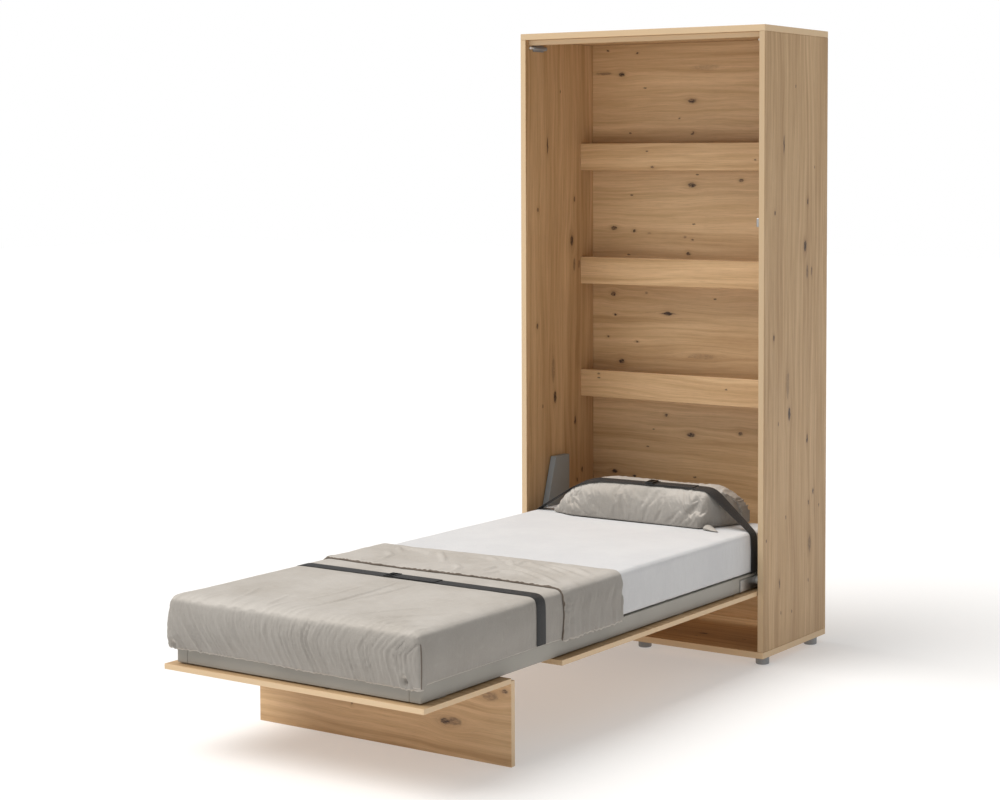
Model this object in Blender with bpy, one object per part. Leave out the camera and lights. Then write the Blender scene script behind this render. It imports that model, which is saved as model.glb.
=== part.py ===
"""Vertical folding wall bed: an open wooden cabinet with a single bed that swings up into it.

Metres, +Z up, +X to the right when facing the cabinet, and the bed reaches out along -Y.
The origin is on the floor, at the middle of the open bed's outer box.
Every length across the depth is measured from the cabinet's front plane, which lies at
Y = FRONT_Y; all parts hang on one empty that stands there.
"""

import math

import bmesh
import bpy
from mathutils import Matrix, Vector

# ---------------------------------------------------------------- cabinet
WIDTH = 1.006
DEPTH = 0.460
HEIGHT = 2.178
BOARD = 0.022
GAP = 0.0003  # clearance between pieces that touch
EDGE_ROUND = 0.0008
FOOT_HEIGHT = 0.026
FOOT_RADIUS = 0.0235
FOOT_SIDE_INSET = 0.0270
FOOT_ROWS_Y = (0.0454, 0.3960)
BACK_FRONT_Y = 0.436
BACK_THICKNESS = 0.016
RAIL_Y = 0.3525
RAIL_THICKNESS = 0.018
RAIL_HEIGHT = 0.100
RAIL_BOTTOMS = (0.8370, 1.2624, 1.6872)
BATTEN_Y = 0.0205
BATTEN_SIZE = 0.018

# ---------------------------------------------------------------- folding bed
FACADE_BOTTOM = 0.241
FACADE_THICKNESS = 0.016
FACADE_HALF_WIDTH = 0.4790
TOP_CLEARANCE = 0.003
BED_REACH = 1.820
PIVOT_Y = (HEIGHT - BOARD - TOP_CLEARANCE - FACADE_BOTTOM - BED_REACH) / 2
PIVOT_Z = FACADE_BOTTOM + PIVOT_Y
SWING_CLEARANCE = 0.0035
FRAME_HALF_WIDTH = 0.450
FRAME_BOTTOM = 0.261
FRAME_TOP = 0.313
FRAME_FOOT_Y = -1.796
FRAME_HEAD_Y = 0.190
FRAME_TUBE = 0.040
CROSS_RAIL_TOP = 0.298
FRAME_PADS_Y = (-1.70, -0.90, -0.45, 0.10)

# ---------------------------------------------------------------- leg board
LEG_THICKNESS = 0.018
LEG_FRONT_Y = -1.421
LEG_HALF_WIDTH = 0.4767
LEG_GAP_END_Y = -1.1697
LEG_GAP_CLEARANCE = 0.0015
LEG_TIP_FOLDED_Y = LEG_GAP_END_Y - LEG_GAP_CLEARANCE
LEG_PIVOT_Z = (FACADE_BOTTOM - LEG_FRONT_Y + LEG_TIP_FOLDED_Y) / 2
LEG_PIVOT_Y = LEG_TIP_FOLDED_Y - LEG_PIVOT_Z
LEG_TOP = LEG_PIVOT_Z + 0.0024
LEG_HINGE_X = 0.300
LEG_NOTCH_HALF_WIDTH = 0.031
LEG_NOTCH_DEPTH = 0.014
KNUCKLE_RADIUS = 0.0035
HINGE_PIN_RADIUS = 0.0015
HINGE_CENTRE_HALF = 0.012
HINGE_HALF_WIDTH = 0.029
HINGE_SIDE_GAP = 0.001
LEAF_THICKNESS = 0.002

# ---------------------------------------------------------------- swing mechanism
PLATE_THICKNESS = 0.003
LEVER_THICKNESS = 0.004
LEVER_LENGTH = 0.075
LEVER_ANGLE = math.radians(19.0)
SPRING_TOP_Y = 0.190
SPRING_TOP_Z = 0.585
COVER_FACE_X = 0.4545
COVER_SHEET = 0.0015
COVER_TOP = 0.631
COVER_BOTTOM = 0.365
COVER_BACK_Y = 0.236
COVER_FRONT_TOP_Y = 0.150
COVER_FRONT_BOTTOM_Y = 0.067
SPRING_X = 0.4665
CYLINDER_RADIUS = 0.0095
CYLINDER_START = 0.016
CYLINDER_END = 0.200
ROD_RADIUS = 0.0040
ROD_BORE_RADIUS = 0.0046
EYE_HALF = 0.0040
STUD_SHORT = 0.0050  # how far each stud's tip stops before the spring's middle plane
PLATE_STUD_RADIUS = 0.0040
LEVER_STUD_RADIUS = 0.0045
PIVOT_RADIUS = 0.0080
SPACER_RADIUS = 0.0140
OVERLAP = 0.001  # how far a joined shape or a cutter runs past its neighbour's face

# ---------------------------------------------------------------- small fittings
DAMPER_X = 0.4725
DAMPER_Z = 2.1285
DAMPER_RADIUS = 0.0075
DAMPER_FRONT_Y = 0.036
DAMPER_BACK_Y = 0.115
PLUNGER_TIP_Y = 0.0175
PLUNGER_TRAVEL = 0.006
DAMPER_BORE_DEPTH = 0.045
CATCH_Z = 1.512
CATCH_SIZE = (0.022, 0.026, 0.030)
CATCH_FRONT_Y = 0.024

# ---------------------------------------------------------------- bedding
MATTRESS_HALF_WIDTH = 0.450
MATTRESS_BOTTOM = 0.3155
MATTRESS_TOP = 0.4565
MATTRESS_FOOT_Y = -1.805
MATTRESS_HEAD_Y = 0.190
SLAT_COUNT = 14
SLAT_WIDTH = 0.053
SLAT_THICKNESS = 0.009
BLANKET_OUTER = 0.461
BLANKET_INNER = 0.4532
BLANKET_FOOT_Y = -1.812
BLANKET_HEAD_Y = -0.830
BLANKET_FOLD_Y = -1.140
PILLOW_HALF_WIDTH = 0.362
PILLOW_Y = (-0.050, 0.178)
PILLOW_TOP = 0.5895
STRAP_WIDTH = 0.045
STRAP_THICKNESS = 0.002
FOOT_STRAP_Y = -1.256
HEAD_STRAP_Y = 0.0255
BUCKLE_SIZE = (0.105, 0.052, 0.012)

FRONT_Y = (BED_REACH - DEPTH) / 2
HALF = WIDTH / 2
INNER = HALF - BOARD
BOX_BOTTOM = FOOT_HEIGHT + BOARD
BOX_TOP = HEIGHT - BOARD


# ---------------------------------------------------------------- helpers
def clear_scene():
    for item in list(bpy.data.objects):
        bpy.data.objects.remove(item, do_unlink=True)


def make_material(name, colour, roughness, metallic=0.0):
    material = bpy.data.materials.new(name)
    material.use_nodes = True
    shader = material.node_tree.nodes["Principled BSDF"]
    shader.inputs["Base Color"].default_value = (*colour, 1.0)
    shader.inputs["Roughness"].default_value = roughness
    shader.inputs["Metallic"].default_value = metallic
    return material


def add_object(name, mesh, material, origin=(0.0, 0.0, 0.0)):
    """Puts a mesh, whose points are in the front plane's frame, on the frame's empty."""
    if any(origin):
        mesh.transform(Matrix.Translation(-Vector(origin)))
    item = bpy.data.objects.new(name, mesh)
    bpy.context.collection.objects.link(item)
    item.parent = front
    item.location = origin
    item.data.materials.clear()
    item.data.materials.append(material)
    return item


def mesh_from(shape, name, smooth=False):
    bmesh.ops.recalc_face_normals(shape, faces=shape.faces)
    mesh = bpy.data.meshes.new(name)
    shape.to_mesh(mesh)
    shape.free()
    if smooth:
        mesh.shade_smooth()
        mesh.set_sharp_from_angle(angle=math.radians(35.0))
    return mesh


def box_shape(low, high, rounding=0.0, segments=1):
    shape = bmesh.new()
    bmesh.ops.create_cube(shape, size=1.0)
    size = Vector(high) - Vector(low)
    middle = (Vector(high) + Vector(low)) / 2
    bmesh.ops.transform(shape, matrix=Matrix.Diagonal((*size, 1.0)), verts=shape.verts)
    bmesh.ops.translate(shape, vec=middle, verts=shape.verts)
    if rounding:
        bmesh.ops.bevel(shape, geom=shape.edges[:], offset=rounding, segments=segments,
                        profile=0.5, affect="EDGES", clamp_overlap=True)
    return shape


def add_box(name, low, high, material, rounding=EDGE_ROUND, segments=1, origin=(0.0, 0.0, 0.0)):
    shape = box_shape(low, high, rounding, segments)
    return add_object(name, mesh_from(shape, name, segments > 1), material, origin)


def prism_mesh(name, outline, start, end):
    """A plate whose outline is in Y and Z, from X = start to X = end."""
    shape = bmesh.new()
    face = shape.faces.new([shape.verts.new((start, y, z)) for y, z in outline])
    made = bmesh.ops.extrude_face_region(shape, geom=[face])["geom"]
    moved = [part for part in made if isinstance(part, bmesh.types.BMVert)]
    bmesh.ops.translate(shape, vec=(end - start, 0.0, 0.0), verts=moved)
    return mesh_from(shape, name)


def turned_mesh(name, centre, direction, profile, sides=32):
    """A turned piece: profile holds (distance along direction, radius) pairs."""
    shape = bmesh.new()
    turn = Vector((0.0, 0.0, 1.0)).rotation_difference(Vector(direction)).to_matrix().to_4x4()
    place = Matrix.Translation(Vector(centre)) @ turn
    rings = []
    for along, radius in profile:
        ring = []
        for step in range(sides):
            angle = 2.0 * math.pi * step / sides
            point = Vector((radius * math.cos(angle), radius * math.sin(angle), along))
            ring.append(shape.verts.new(place @ point))
        rings.append(ring)
    for lower, upper in zip(rings, rings[1:]):
        for step in range(sides):
            after = (step + 1) % sides
            shape.faces.new((lower[step], lower[after], upper[after], upper[step]))
    shape.faces.new(list(reversed(rings[0])))
    shape.faces.new(rings[-1])
    return mesh_from(shape, name, True)


def cylinder_mesh(name, centre, direction, length, radius, sides=32):
    return turned_mesh(name, centre, direction, ((0.0, radius), (length, radius)), sides)


def combine(item, mesh, operation):
    """Keeps a Boolean on item whose operand is a hidden guide made of mesh."""
    guide = bpy.data.objects.new(f"{item.name}_guide{len(item.modifiers)}", mesh)
    bpy.context.collection.objects.link(guide)
    guide.parent = front
    guide.hide_render = True
    guide.display_type = "WIRE"
    change = item.modifiers.new(operation.lower(), "BOOLEAN")
    change.operation = operation
    change.solver = "EXACT"
    change.object = guide


def cut(item, mesh):
    combine(item, mesh, "DIFFERENCE")


def join(item, mesh):
    combine(item, mesh, "UNION")


def box_mesh(name, low, high, rounding=0.0):
    return mesh_from(box_shape(low, high, rounding), name)


def sides():
    return (("left", -1.0), ("right", 1.0))


def mirror_box(side, low, high):
    """The corners of a box given for the right side, on the side wanted."""
    if side > 0:
        return low, high
    return (-high[0], low[1], low[2]), (-low[0], high[1], high[2])


# ---------------------------------------------------------------- cabinet pieces
def make_cabinet():
    for name, side in sides():
        low, high = mirror_box(side, (INNER, 0.0, BOX_BOTTOM + GAP), (HALF, DEPTH, BOX_TOP - GAP))
        add_box(f"side_panel_{name}", low, high, oak)
    add_box("top_panel", (-HALF, 0.0, BOX_TOP), (HALF, DEPTH, HEIGHT), oak)
    add_box("bottom_panel", (-HALF, 0.0, FOOT_HEIGHT), (HALF, DEPTH, BOX_BOTTOM), oak)
    inside = INNER - GAP
    joints = [bottom + RAIL_HEIGHT / 2 for bottom in RAIL_BOTTOMS]
    levels = [BOX_BOTTOM + GAP, *joints, BOX_TOP]
    for number, (lower, upper) in enumerate(zip(levels, levels[1:]), start=1):
        add_box(f"back_panel_{number}", (-inside, BACK_FRONT_Y, lower),
                (inside, BACK_FRONT_Y + BACK_THICKNESS, upper - GAP), oak)
    for number, bottom in enumerate(RAIL_BOTTOMS, start=1):
        add_box(f"cross_rail_{number}", (-inside, RAIL_Y, bottom),
                (inside, RAIL_Y + RAIL_THICKNESS, bottom + RAIL_HEIGHT), oak)
    batten_top = BOX_TOP - GAP
    add_box("top_batten", (-inside, BATTEN_Y, batten_top - BATTEN_SIZE),
            (inside, BATTEN_Y + BATTEN_SIZE, batten_top), oak)


def make_feet():
    """Six turned plastic feet under the bottom panel, three to a row."""
    across = (("left", FOOT_SIDE_INSET - HALF), ("middle", 0.0), ("right", HALF - FOOT_SIDE_INSET))
    top = FOOT_HEIGHT - GAP
    profile = ((0.0, FOOT_RADIUS - 0.002), (0.002, FOOT_RADIUS), (top - 0.004, FOOT_RADIUS),
               (top, FOOT_RADIUS + 0.0015))
    for row, y in zip(("front", "back"), FOOT_ROWS_Y):
        for name, x in across:
            mesh = turned_mesh(f"foot_{row}_{name}", (x, y, 0.0), (0.0, 0.0, 1.0), profile)
            add_object(f"foot_{row}_{name}", mesh, grey_plastic)


def make_dampers():
    """A soft-close damper high on each side panel; its sprung plunger points forward."""
    for name, side in sides():
        make_damper(name, side)


def make_damper(name, side):
    x = side * DAMPER_X
    along = (0.0, 1.0, 0.0)
    length = DAMPER_BACK_Y - DAMPER_FRONT_Y
    edge = 0.001
    profile = ((0.0, DAMPER_RADIUS - edge), (edge, DAMPER_RADIUS), (length - edge, DAMPER_RADIUS),
               (length, DAMPER_RADIUS - edge))
    barrel = turned_mesh("damper", (x, DAMPER_FRONT_Y, DAMPER_Z), along, profile)
    body = add_object(f"damper_body_{name}", barrel, grey_plastic)
    low, high = mirror_box(side, (DAMPER_X + 0.002, DAMPER_FRONT_Y + 0.010, DAMPER_Z - 0.012),
                           (INNER - GAP, DAMPER_BACK_Y - 0.010, DAMPER_Z + 0.012))
    join(body, box_mesh("damper_base", low, high))
    cut(body, cylinder_mesh("damper_bore", (x, DAMPER_FRONT_Y - OVERLAP, DAMPER_Z), along,
                            DAMPER_BORE_DEPTH + OVERLAP, 0.0040, 24))
    stem_end = DAMPER_FRONT_Y + DAMPER_BORE_DEPTH - PLUNGER_TRAVEL - 0.004 - PLUNGER_TIP_Y
    profile = ((0.0, 0.0035), (0.0012, 0.0048), (0.0090, 0.0048), (0.0100, 0.0036), (stem_end, 0.0036))
    tip = (x, PLUNGER_TIP_Y, DAMPER_Z)
    add_object(f"damper_plunger_{name}", turned_mesh("plunger", tip, along, profile, 24), pale_plastic, tip)


def make_catch():
    """A small metal stop catch on the right side panel, behind the closed front."""
    depth, length, height = CATCH_SIZE
    catch = add_box("stop_catch", (INNER - GAP - depth, CATCH_FRONT_Y, CATCH_Z - height / 2),
                    (INNER - GAP, CATCH_FRONT_Y + length, CATCH_Z + height / 2), steel, 0.0015)
    for rise in (-0.008, 0.008):
        hole = (INNER - depth / 2, CATCH_FRONT_Y - OVERLAP, CATCH_Z + rise)
        cut(catch, cylinder_mesh("catch_hole", hole, (0.0, 1.0, 0.0), 0.010, 0.0025, 16))


# ---------------------------------------------------------------- bed frame and front
def make_frame():
    """Welded box frame: two full-length side rails with the cross pieces butted between them."""
    inner_x = FRAME_HALF_WIDTH - FRAME_TUBE
    for name, side in sides():
        low, high = mirror_box(side, (inner_x, FRAME_FOOT_Y, FRAME_BOTTOM),
                               (FRAME_HALF_WIDTH, FRAME_HEAD_Y, FRAME_TOP))
        rail = add_box(f"frame_side_{name}", low, high, frame_paint, 0.0015)
        for y in FRAME_PADS_Y:
            low, high = mirror_box(side, (inner_x + 0.005, y - 0.02, FACADE_BOTTOM + FACADE_THICKNESS + GAP),
                                   (FRAME_HALF_WIDTH - 0.005, y + 0.02, FRAME_BOTTOM + 0.004))
            join(rail, box_mesh("frame_pad", low, high))
    across = inner_x - GAP
    crosses = (("frame_foot_rail", FRAME_FOOT_Y, FRAME_FOOT_Y + FRAME_TUBE, FRAME_TOP),
               ("frame_leg_rail", -1.462, -1.427, CROSS_RAIL_TOP),
               ("frame_middle_rail", -0.710, -0.680, CROSS_RAIL_TOP),
               ("frame_head_rail", FRAME_HEAD_Y - FRAME_TUBE, FRAME_HEAD_Y, FRAME_TOP))
    for name, start, end, top in crosses:
        add_box(name, (-across, start, FRAME_BOTTOM), (across, end, top), frame_paint, 0.0015)


def make_slats():
    """Sprung wooden slats held by two long strips that clip inside the side rails."""
    outer = FRAME_HALF_WIDTH - FRAME_TUBE - GAP
    strip = 0.022
    strip_bottom = 0.004
    first, last = FRAME_FOOT_Y + 0.070, FRAME_HEAD_Y - 0.070
    slat_top = MATTRESS_BOTTOM - 0.002
    slat_bottom = slat_top - SLAT_THICKNESS
    start, end = first - SLAT_WIDTH / 2, last + SLAT_WIDTH / 2
    low_z = slat_bottom - strip_bottom
    deck = add_box("slat_deck", (-outer, start, low_z), (-outer + strip, end, slat_top), birch, 0.0)
    join(deck, box_mesh("slat_strip", (outer - strip, start, low_z), (outer, end, slat_top)))
    for number in range(SLAT_COUNT):
        y = first + (last - first) * number / (SLAT_COUNT - 1)
        half = SLAT_WIDTH / 2 - (0.001 if number in (0, SLAT_COUNT - 1) else 0.0)
        join(deck, box_mesh("slat", (-outer + 0.006, y - half, slat_bottom),
                            (outer - 0.006, y + half, slat_top - 0.001)))


def make_front_boards():
    """The closed bed's front: a foot board and a head board, with the leg board's gap between."""
    top = FACADE_BOTTOM + FACADE_THICKNESS
    foot_end = LEG_FRONT_Y - LEG_GAP_CLEARANCE
    swing = PIVOT_Z - BOX_BOTTOM - SWING_CLEARANCE
    head_end = PIVOT_Y + math.sqrt(swing ** 2 - PIVOT_Y ** 2)
    for name, start, end in (("foot", -BED_REACH, foot_end), ("head", LEG_GAP_END_Y, head_end)):
        add_box(f"front_board_{name}", (-FACADE_HALF_WIDTH, start, FACADE_BOTTOM),
                (FACADE_HALF_WIDTH, end, top), oak)


def make_leg():
    """The leg board hangs in the front's gap and folds flush into it on two knuckle hinges."""
    pivot = (0.0, LEG_PIVOT_Y, LEG_PIVOT_Z)
    back_y = LEG_FRONT_Y + LEG_THICKNESS
    board = add_box("leg_board", (-LEG_HALF_WIDTH, LEG_FRONT_Y, 0.0), (LEG_HALF_WIDTH, back_y, LEG_TOP),
                    oak, origin=pivot)
    floor = LEG_TOP - LEG_NOTCH_DEPTH
    for name, side in sides():
        middle = side * LEG_HINGE_X
        cut(board, box_mesh("leg_notch", (middle - LEG_NOTCH_HALF_WIDTH, LEG_FRONT_Y - 0.01, floor),
                            (middle + LEG_NOTCH_HALF_WIDTH, back_y + 0.01, LEG_TOP + 0.01)))
        make_leg_hinge(name, middle, floor + GAP, back_y)


def knuckle_mesh(name, start_x, width, radius):
    return cylinder_mesh(name, (start_x, LEG_PIVOT_Y, LEG_PIVOT_Z), (1.0, 0.0, 0.0), width, radius, 24)


def make_leg_hinge(name, middle, floor, back_y):
    """A three-knuckle hinge: the centre knuckle is the frame's, and the outer two are the leg's."""
    inner = HINGE_CENTRE_HALF
    outer = HINGE_HALF_WIDTH
    frame_leaf = add_object(f"leg_hinge_frame_{name}",
                            knuckle_mesh("knuckle", middle - inner, 2 * inner, KNUCKLE_RADIUS), steel)
    flange_top = FRAME_BOTTOM - GAP
    join(frame_leaf, box_mesh("leaf", (middle - inner, LEG_PIVOT_Y - LEAF_THICKNESS, LEG_PIVOT_Z),
                              (middle + inner, LEG_PIVOT_Y, flange_top)))
    join(frame_leaf, box_mesh("flange", (middle - inner, LEG_PIVOT_Y - 0.040, flange_top - LEAF_THICKNESS),
                              (middle + inner, LEG_PIVOT_Y - 0.001, flange_top)))
    cut(frame_leaf, knuckle_mesh("knuckle_hole", middle - outer, 2 * outer, HINGE_PIN_RADIUS + 0.0004))
    leg_leaf = add_object(f"leg_hinge_leg_{name}",
                          knuckle_mesh("hinge_pin", middle - outer, 2 * outer, HINGE_PIN_RADIUS),
                          steel, (middle, LEG_PIVOT_Y, LEG_PIVOT_Z))
    join(leg_leaf, box_mesh("leaf_floor", (middle - outer, LEG_FRONT_Y + 0.0010, floor),
                            (middle + outer, back_y - 0.0004, floor + LEAF_THICKNESS)))
    ear = outer - inner - HINGE_SIDE_GAP
    half_leaf = LEAF_THICKNESS / 2
    for start in (middle - outer, middle + inner + HINGE_SIDE_GAP):
        join(leg_leaf, knuckle_mesh("ear_knuckle", start, ear, KNUCKLE_RADIUS))
        join(leg_leaf, box_mesh("ear", (start + 0.0002, LEG_PIVOT_Y - half_leaf, floor + half_leaf),
                                (start + ear - 0.0002, LEG_PIVOT_Y + half_leaf, LEG_PIVOT_Z)))


# ---------------------------------------------------------------- swing mechanism
def lever_pin():
    """Where the lever's stud stands, in Y and Z, with the bed open."""
    return (PIVOT_Y + LEVER_LENGTH * math.cos(LEVER_ANGLE),
            PIVOT_Z + LEVER_LENGTH * math.sin(LEVER_ANGLE))


def make_mechanism(name, side):
    wall = INNER - GAP
    plate_face = wall - PLATE_THICKNESS
    make_plate(name, side, plate_face, wall)
    make_cover(name, side, plate_face - GAP)
    make_pivot(name, side, plate_face - GAP)
    make_lever(name, side)
    make_gas_spring(name, side)


def make_plate(name, side, plate_face, wall):
    """The steel plate screwed to the side panel; its upper stud holds the gas spring."""
    outline = ((0.022, 0.275), (0.038, 0.260), (0.062, 0.259), (0.110, 0.345), (0.222, 0.372),
               (0.222, 0.618), (0.160, 0.618), (0.082, 0.372), (0.022, 0.316))
    plate = add_object(f"mechanism_plate_{name}",
                       prism_mesh("plate", outline, side * plate_face, side * wall), steel)
    root = plate_face + OVERLAP
    stud = cylinder_mesh("stud", (side * root, SPRING_TOP_Y, SPRING_TOP_Z), (-side, 0.0, 0.0),
                         root - (SPRING_X - STUD_SHORT), PLATE_STUD_RADIUS, 24)
    join(plate, stud)


def make_cover(name, side, rim):
    """A folded sheet cover over the gas spring: open below, and towards the side panel."""
    outer = ((COVER_FRONT_BOTTOM_Y, COVER_BOTTOM), (COVER_BACK_Y, COVER_BOTTOM),
             (COVER_BACK_Y, COVER_TOP), (COVER_FRONT_TOP_Y, COVER_TOP))
    cover = add_object(f"mechanism_cover_{name}",
                       prism_mesh("cover", outer, side * COVER_FACE_X, side * rim), frame_paint)
    rise = COVER_TOP - COVER_BOTTOM
    run = COVER_FRONT_TOP_Y - COVER_FRONT_BOTTOM_Y
    wall_y = COVER_SHEET * math.hypot(rise, run) / rise
    below = 0.02
    inner_back = COVER_BACK_Y - COVER_SHEET
    inner_top = COVER_TOP - COVER_SHEET
    hollow = ((COVER_FRONT_BOTTOM_Y + wall_y - below * run / rise, COVER_BOTTOM - below),
              (inner_back, COVER_BOTTOM - below), (inner_back, inner_top),
              (COVER_FRONT_TOP_Y + wall_y, inner_top))
    inner_face = side * (COVER_FACE_X + COVER_SHEET)
    cut(cover, prism_mesh("hollow", hollow, inner_face, side * (rim + OVERLAP)))


def make_pivot(name, side, start):
    """The pin that the bed swings on, and the plastic spacer between the lever and the plate."""
    inward = (-side, 0.0, 0.0)
    centre = (side * start, PIVOT_Y, PIVOT_Z)
    pin_length = start - FRAME_HALF_WIDTH - 2 * GAP
    add_object(f"pivot_pin_{name}", cylinder_mesh("pin", centre, inward, pin_length, PIVOT_RADIUS), steel)
    spacer_length = pin_length - LEVER_THICKNESS
    spacer = add_object(f"pivot_spacer_{name}",
                        cylinder_mesh("spacer", centre, inward, spacer_length, SPACER_RADIUS), pale_plastic)
    before = (side * (start + OVERLAP), PIVOT_Y, PIVOT_Z)
    cut(spacer, cylinder_mesh("spacer_hole", before, inward, 0.05, PIVOT_RADIUS + GAP))


def make_lever(name, side):
    """The plate welded to the frame's side: it holds the swing hole and the gas spring's stud."""
    near = FRAME_HALF_WIDTH + GAP
    pin_y, pin_z = lever_pin()
    foot = FRAME_BOTTOM + 0.002
    outline = ((-0.070, foot), (0.070, foot), (0.128, 0.300), (0.128, 0.323), (0.104, 0.323),
               (0.066, 0.311), (0.020, 0.303), (-0.070, 0.303))
    lever = add_object(f"swing_lever_{name}",
                       prism_mesh("lever", outline, side * near, side * (near + LEVER_THICKNESS)),
                       steel, (0.0, PIVOT_Y, PIVOT_Z))
    outward = (side, 0.0, 0.0)
    root = near + OVERLAP
    join(lever, cylinder_mesh("lever_stud", (side * root, pin_y, pin_z), outward,
                              SPRING_X - STUD_SHORT - root, LEVER_STUD_RADIUS, 24))
    before = (side * (near - OVERLAP), PIVOT_Y, PIVOT_Z)
    cut(lever, cylinder_mesh("lever_hole", before, outward, 0.03, PIVOT_RADIUS + GAP))


def spring_eye(name, centre, radius):
    return cylinder_mesh(name, centre - Vector((EYE_HALF, 0.0, 0.0)), (1.0, 0.0, 0.0),
                         2 * EYE_HALF, radius)


def eye_hole(name, centre, radius):
    reach = EYE_HALF + OVERLAP
    return cylinder_mesh(name, centre - Vector((reach, 0.0, 0.0)), (1.0, 0.0, 0.0), 2 * reach, radius, 24)


def make_gas_spring(name, side):
    """Gas spring: its cylinder swings on the plate's stud and its rod slides out of it."""
    pin_y, pin_z = lever_pin()
    top = Vector((side * SPRING_X, SPRING_TOP_Y, SPRING_TOP_Z))
    foot = Vector((side * SPRING_X, pin_y, pin_z))
    length = (foot - top).length
    along = (foot - top).normalized()
    cylinder = add_object(f"gas_cylinder_{name}", spring_eye("eye", top, 0.0090), black_metal, tuple(top))
    barrel = ((0.0, 0.0050), (CYLINDER_START - 0.006, 0.0050), (CYLINDER_START - 0.004, CYLINDER_RADIUS),
              (CYLINDER_END - 0.006, CYLINDER_RADIUS), (CYLINDER_END - 0.004, 0.0080))
    join(cylinder, turned_mesh("barrel", top + along * 0.006, along, barrel))
    cut(cylinder, eye_hole("eye_hole", top, PLATE_STUD_RADIUS + GAP))
    cut(cylinder, cylinder_mesh("bore", top + along * 0.030, along, CYLINDER_END, ROD_BORE_RADIUS, 24))
    rod_start = 0.036
    rod = cylinder_mesh("rod", top + along * rod_start, along, length - rod_start - 0.006, ROD_RADIUS, 24)
    piece = add_object(f"gas_rod_{name}", rod, steel, tuple(foot))
    join(piece, spring_eye("rod_eye", foot, 0.0088))
    cut(piece, eye_hole("rod_eye_hole", foot, LEVER_STUD_RADIUS + 0.0005))


# ---------------------------------------------------------------- bedding
def make_bedding():
    soft = 0.030
    add_box("mattress", (-MATTRESS_HALF_WIDTH, MATTRESS_FOOT_Y, MATTRESS_BOTTOM),
            (MATTRESS_HALF_WIDTH, MATTRESS_HEAD_Y, MATTRESS_TOP), white_cloth, soft, 4)
    blanket_top = MATTRESS_TOP + 0.0060
    inner_top = MATTRESS_TOP + 0.0005
    blanket = add_box("blanket", (-BLANKET_OUTER, BLANKET_FOOT_Y, 0.250),
                      (BLANKET_OUTER, BLANKET_HEAD_Y + 0.1, blanket_top), beige_cloth, 0.032, 4)
    fold_half = BLANKET_OUTER - 0.030
    join(blanket, box_mesh("fold", (-fold_half, BLANKET_FOLD_Y, blanket_top - 0.004),
                           (fold_half, BLANKET_HEAD_Y + 0.1, blanket_top + 0.0050)))
    hollow = box_shape((-BLANKET_INNER, MATTRESS_FOOT_Y - 0.0010, 0.200),
                       (BLANKET_INNER, 0.0, inner_top), 0.030, 4)
    cut(blanket, mesh_from(hollow, "blanket_hollow"))
    cut(blanket, box_mesh("blanket_hem", (-1.0, -3.0, 0.0), (1.0, 1.0, MATTRESS_BOTTOM + 0.001)))
    cut(blanket, box_mesh("blanket_end", (-1.0, BLANKET_HEAD_Y, 0.0), (1.0, 1.0, 1.0)))
    add_box("pillow", (-PILLOW_HALF_WIDTH, PILLOW_Y[0], MATTRESS_TOP + 0.0005),
            (PILLOW_HALF_WIDTH, PILLOW_Y[1], PILLOW_TOP), beige_cloth, 0.060, 4)


def strap_mesh(name, route, middle_y):
    """A flat band: route is the inner face's line in X and Z, thickened outwards."""
    shape = bmesh.new()
    inner = [Vector((x, 0.0, z)) for x, z in route]
    outer = []
    for index, point in enumerate(inner):
        before = inner[max(index - 1, 0)]
        after = inner[min(index + 1, len(inner) - 1)]
        one = (point - before).normalized() if index else (after - point).normalized()
        two = (after - point).normalized() if index < len(inner) - 1 else one
        normal = Vector((-(one + two).z, 0.0, (one + two).x)).normalized()
        spread = normal.dot(Vector((-one.z, 0.0, one.x)))
        outer.append(point + normal * STRAP_THICKNESS / spread)
    ring = inner + list(reversed(outer))
    near = middle_y - STRAP_WIDTH / 2
    face = shape.faces.new([shape.verts.new((point.x, near, point.z)) for point in ring])
    made = bmesh.ops.extrude_face_region(shape, geom=[face])["geom"]
    moved = [part for part in made if isinstance(part, bmesh.types.BMVert)]
    bmesh.ops.translate(shape, vec=(0.0, STRAP_WIDTH, 0.0), verts=moved)
    return mesh_from(shape, name)


def make_straps():
    bottom = MATTRESS_BOTTOM + 0.003
    over = MATTRESS_TOP + 0.0065
    edge = BLANKET_OUTER + 0.0006
    half_route = ((edge, bottom), (edge, over - 0.022), (edge - 0.010, over - 0.004),
                  (edge - 0.028, over + 0.0004))
    route = [(-x, z) for x, z in half_route] + [(x, z) for x, z in reversed(half_route)]
    add_object("foot_strap", strap_mesh("foot_strap", route, FOOT_STRAP_Y), black_web)
    edge = MATTRESS_HALF_WIDTH + 0.0004
    crest = PILLOW_TOP + 0.0010
    half_route = ((edge, bottom), (edge, MATTRESS_TOP - 0.008), (0.395, 0.545), (0.345, crest - 0.008),
                  (0.315, crest))
    route = [(-x, z) for x, z in half_route] + [(x, z) for x, z in reversed(half_route)]
    add_object("head_strap", strap_mesh("head_strap", route, HEAD_STRAP_Y), black_web)
    width, length, height = BUCKLE_SIZE
    places = (("foot", FOOT_STRAP_Y, over + 0.0004 + STRAP_THICKNESS),
              ("head", HEAD_STRAP_Y, crest + STRAP_THICKNESS))
    for name, y, under in places:
        low = (-width / 2, y - length / 2, under + GAP)
        high = (width / 2, y + length / 2, under + GAP + height)
        add_box(f"{name}_buckle", low, high, black_plastic, 0.003)


# ---------------------------------------------------------------- build
clear_scene()
front = bpy.data.objects.new("cabinet_front", None)
bpy.context.collection.objects.link(front)
front.location = (0.0, FRONT_Y, 0.0)

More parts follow.
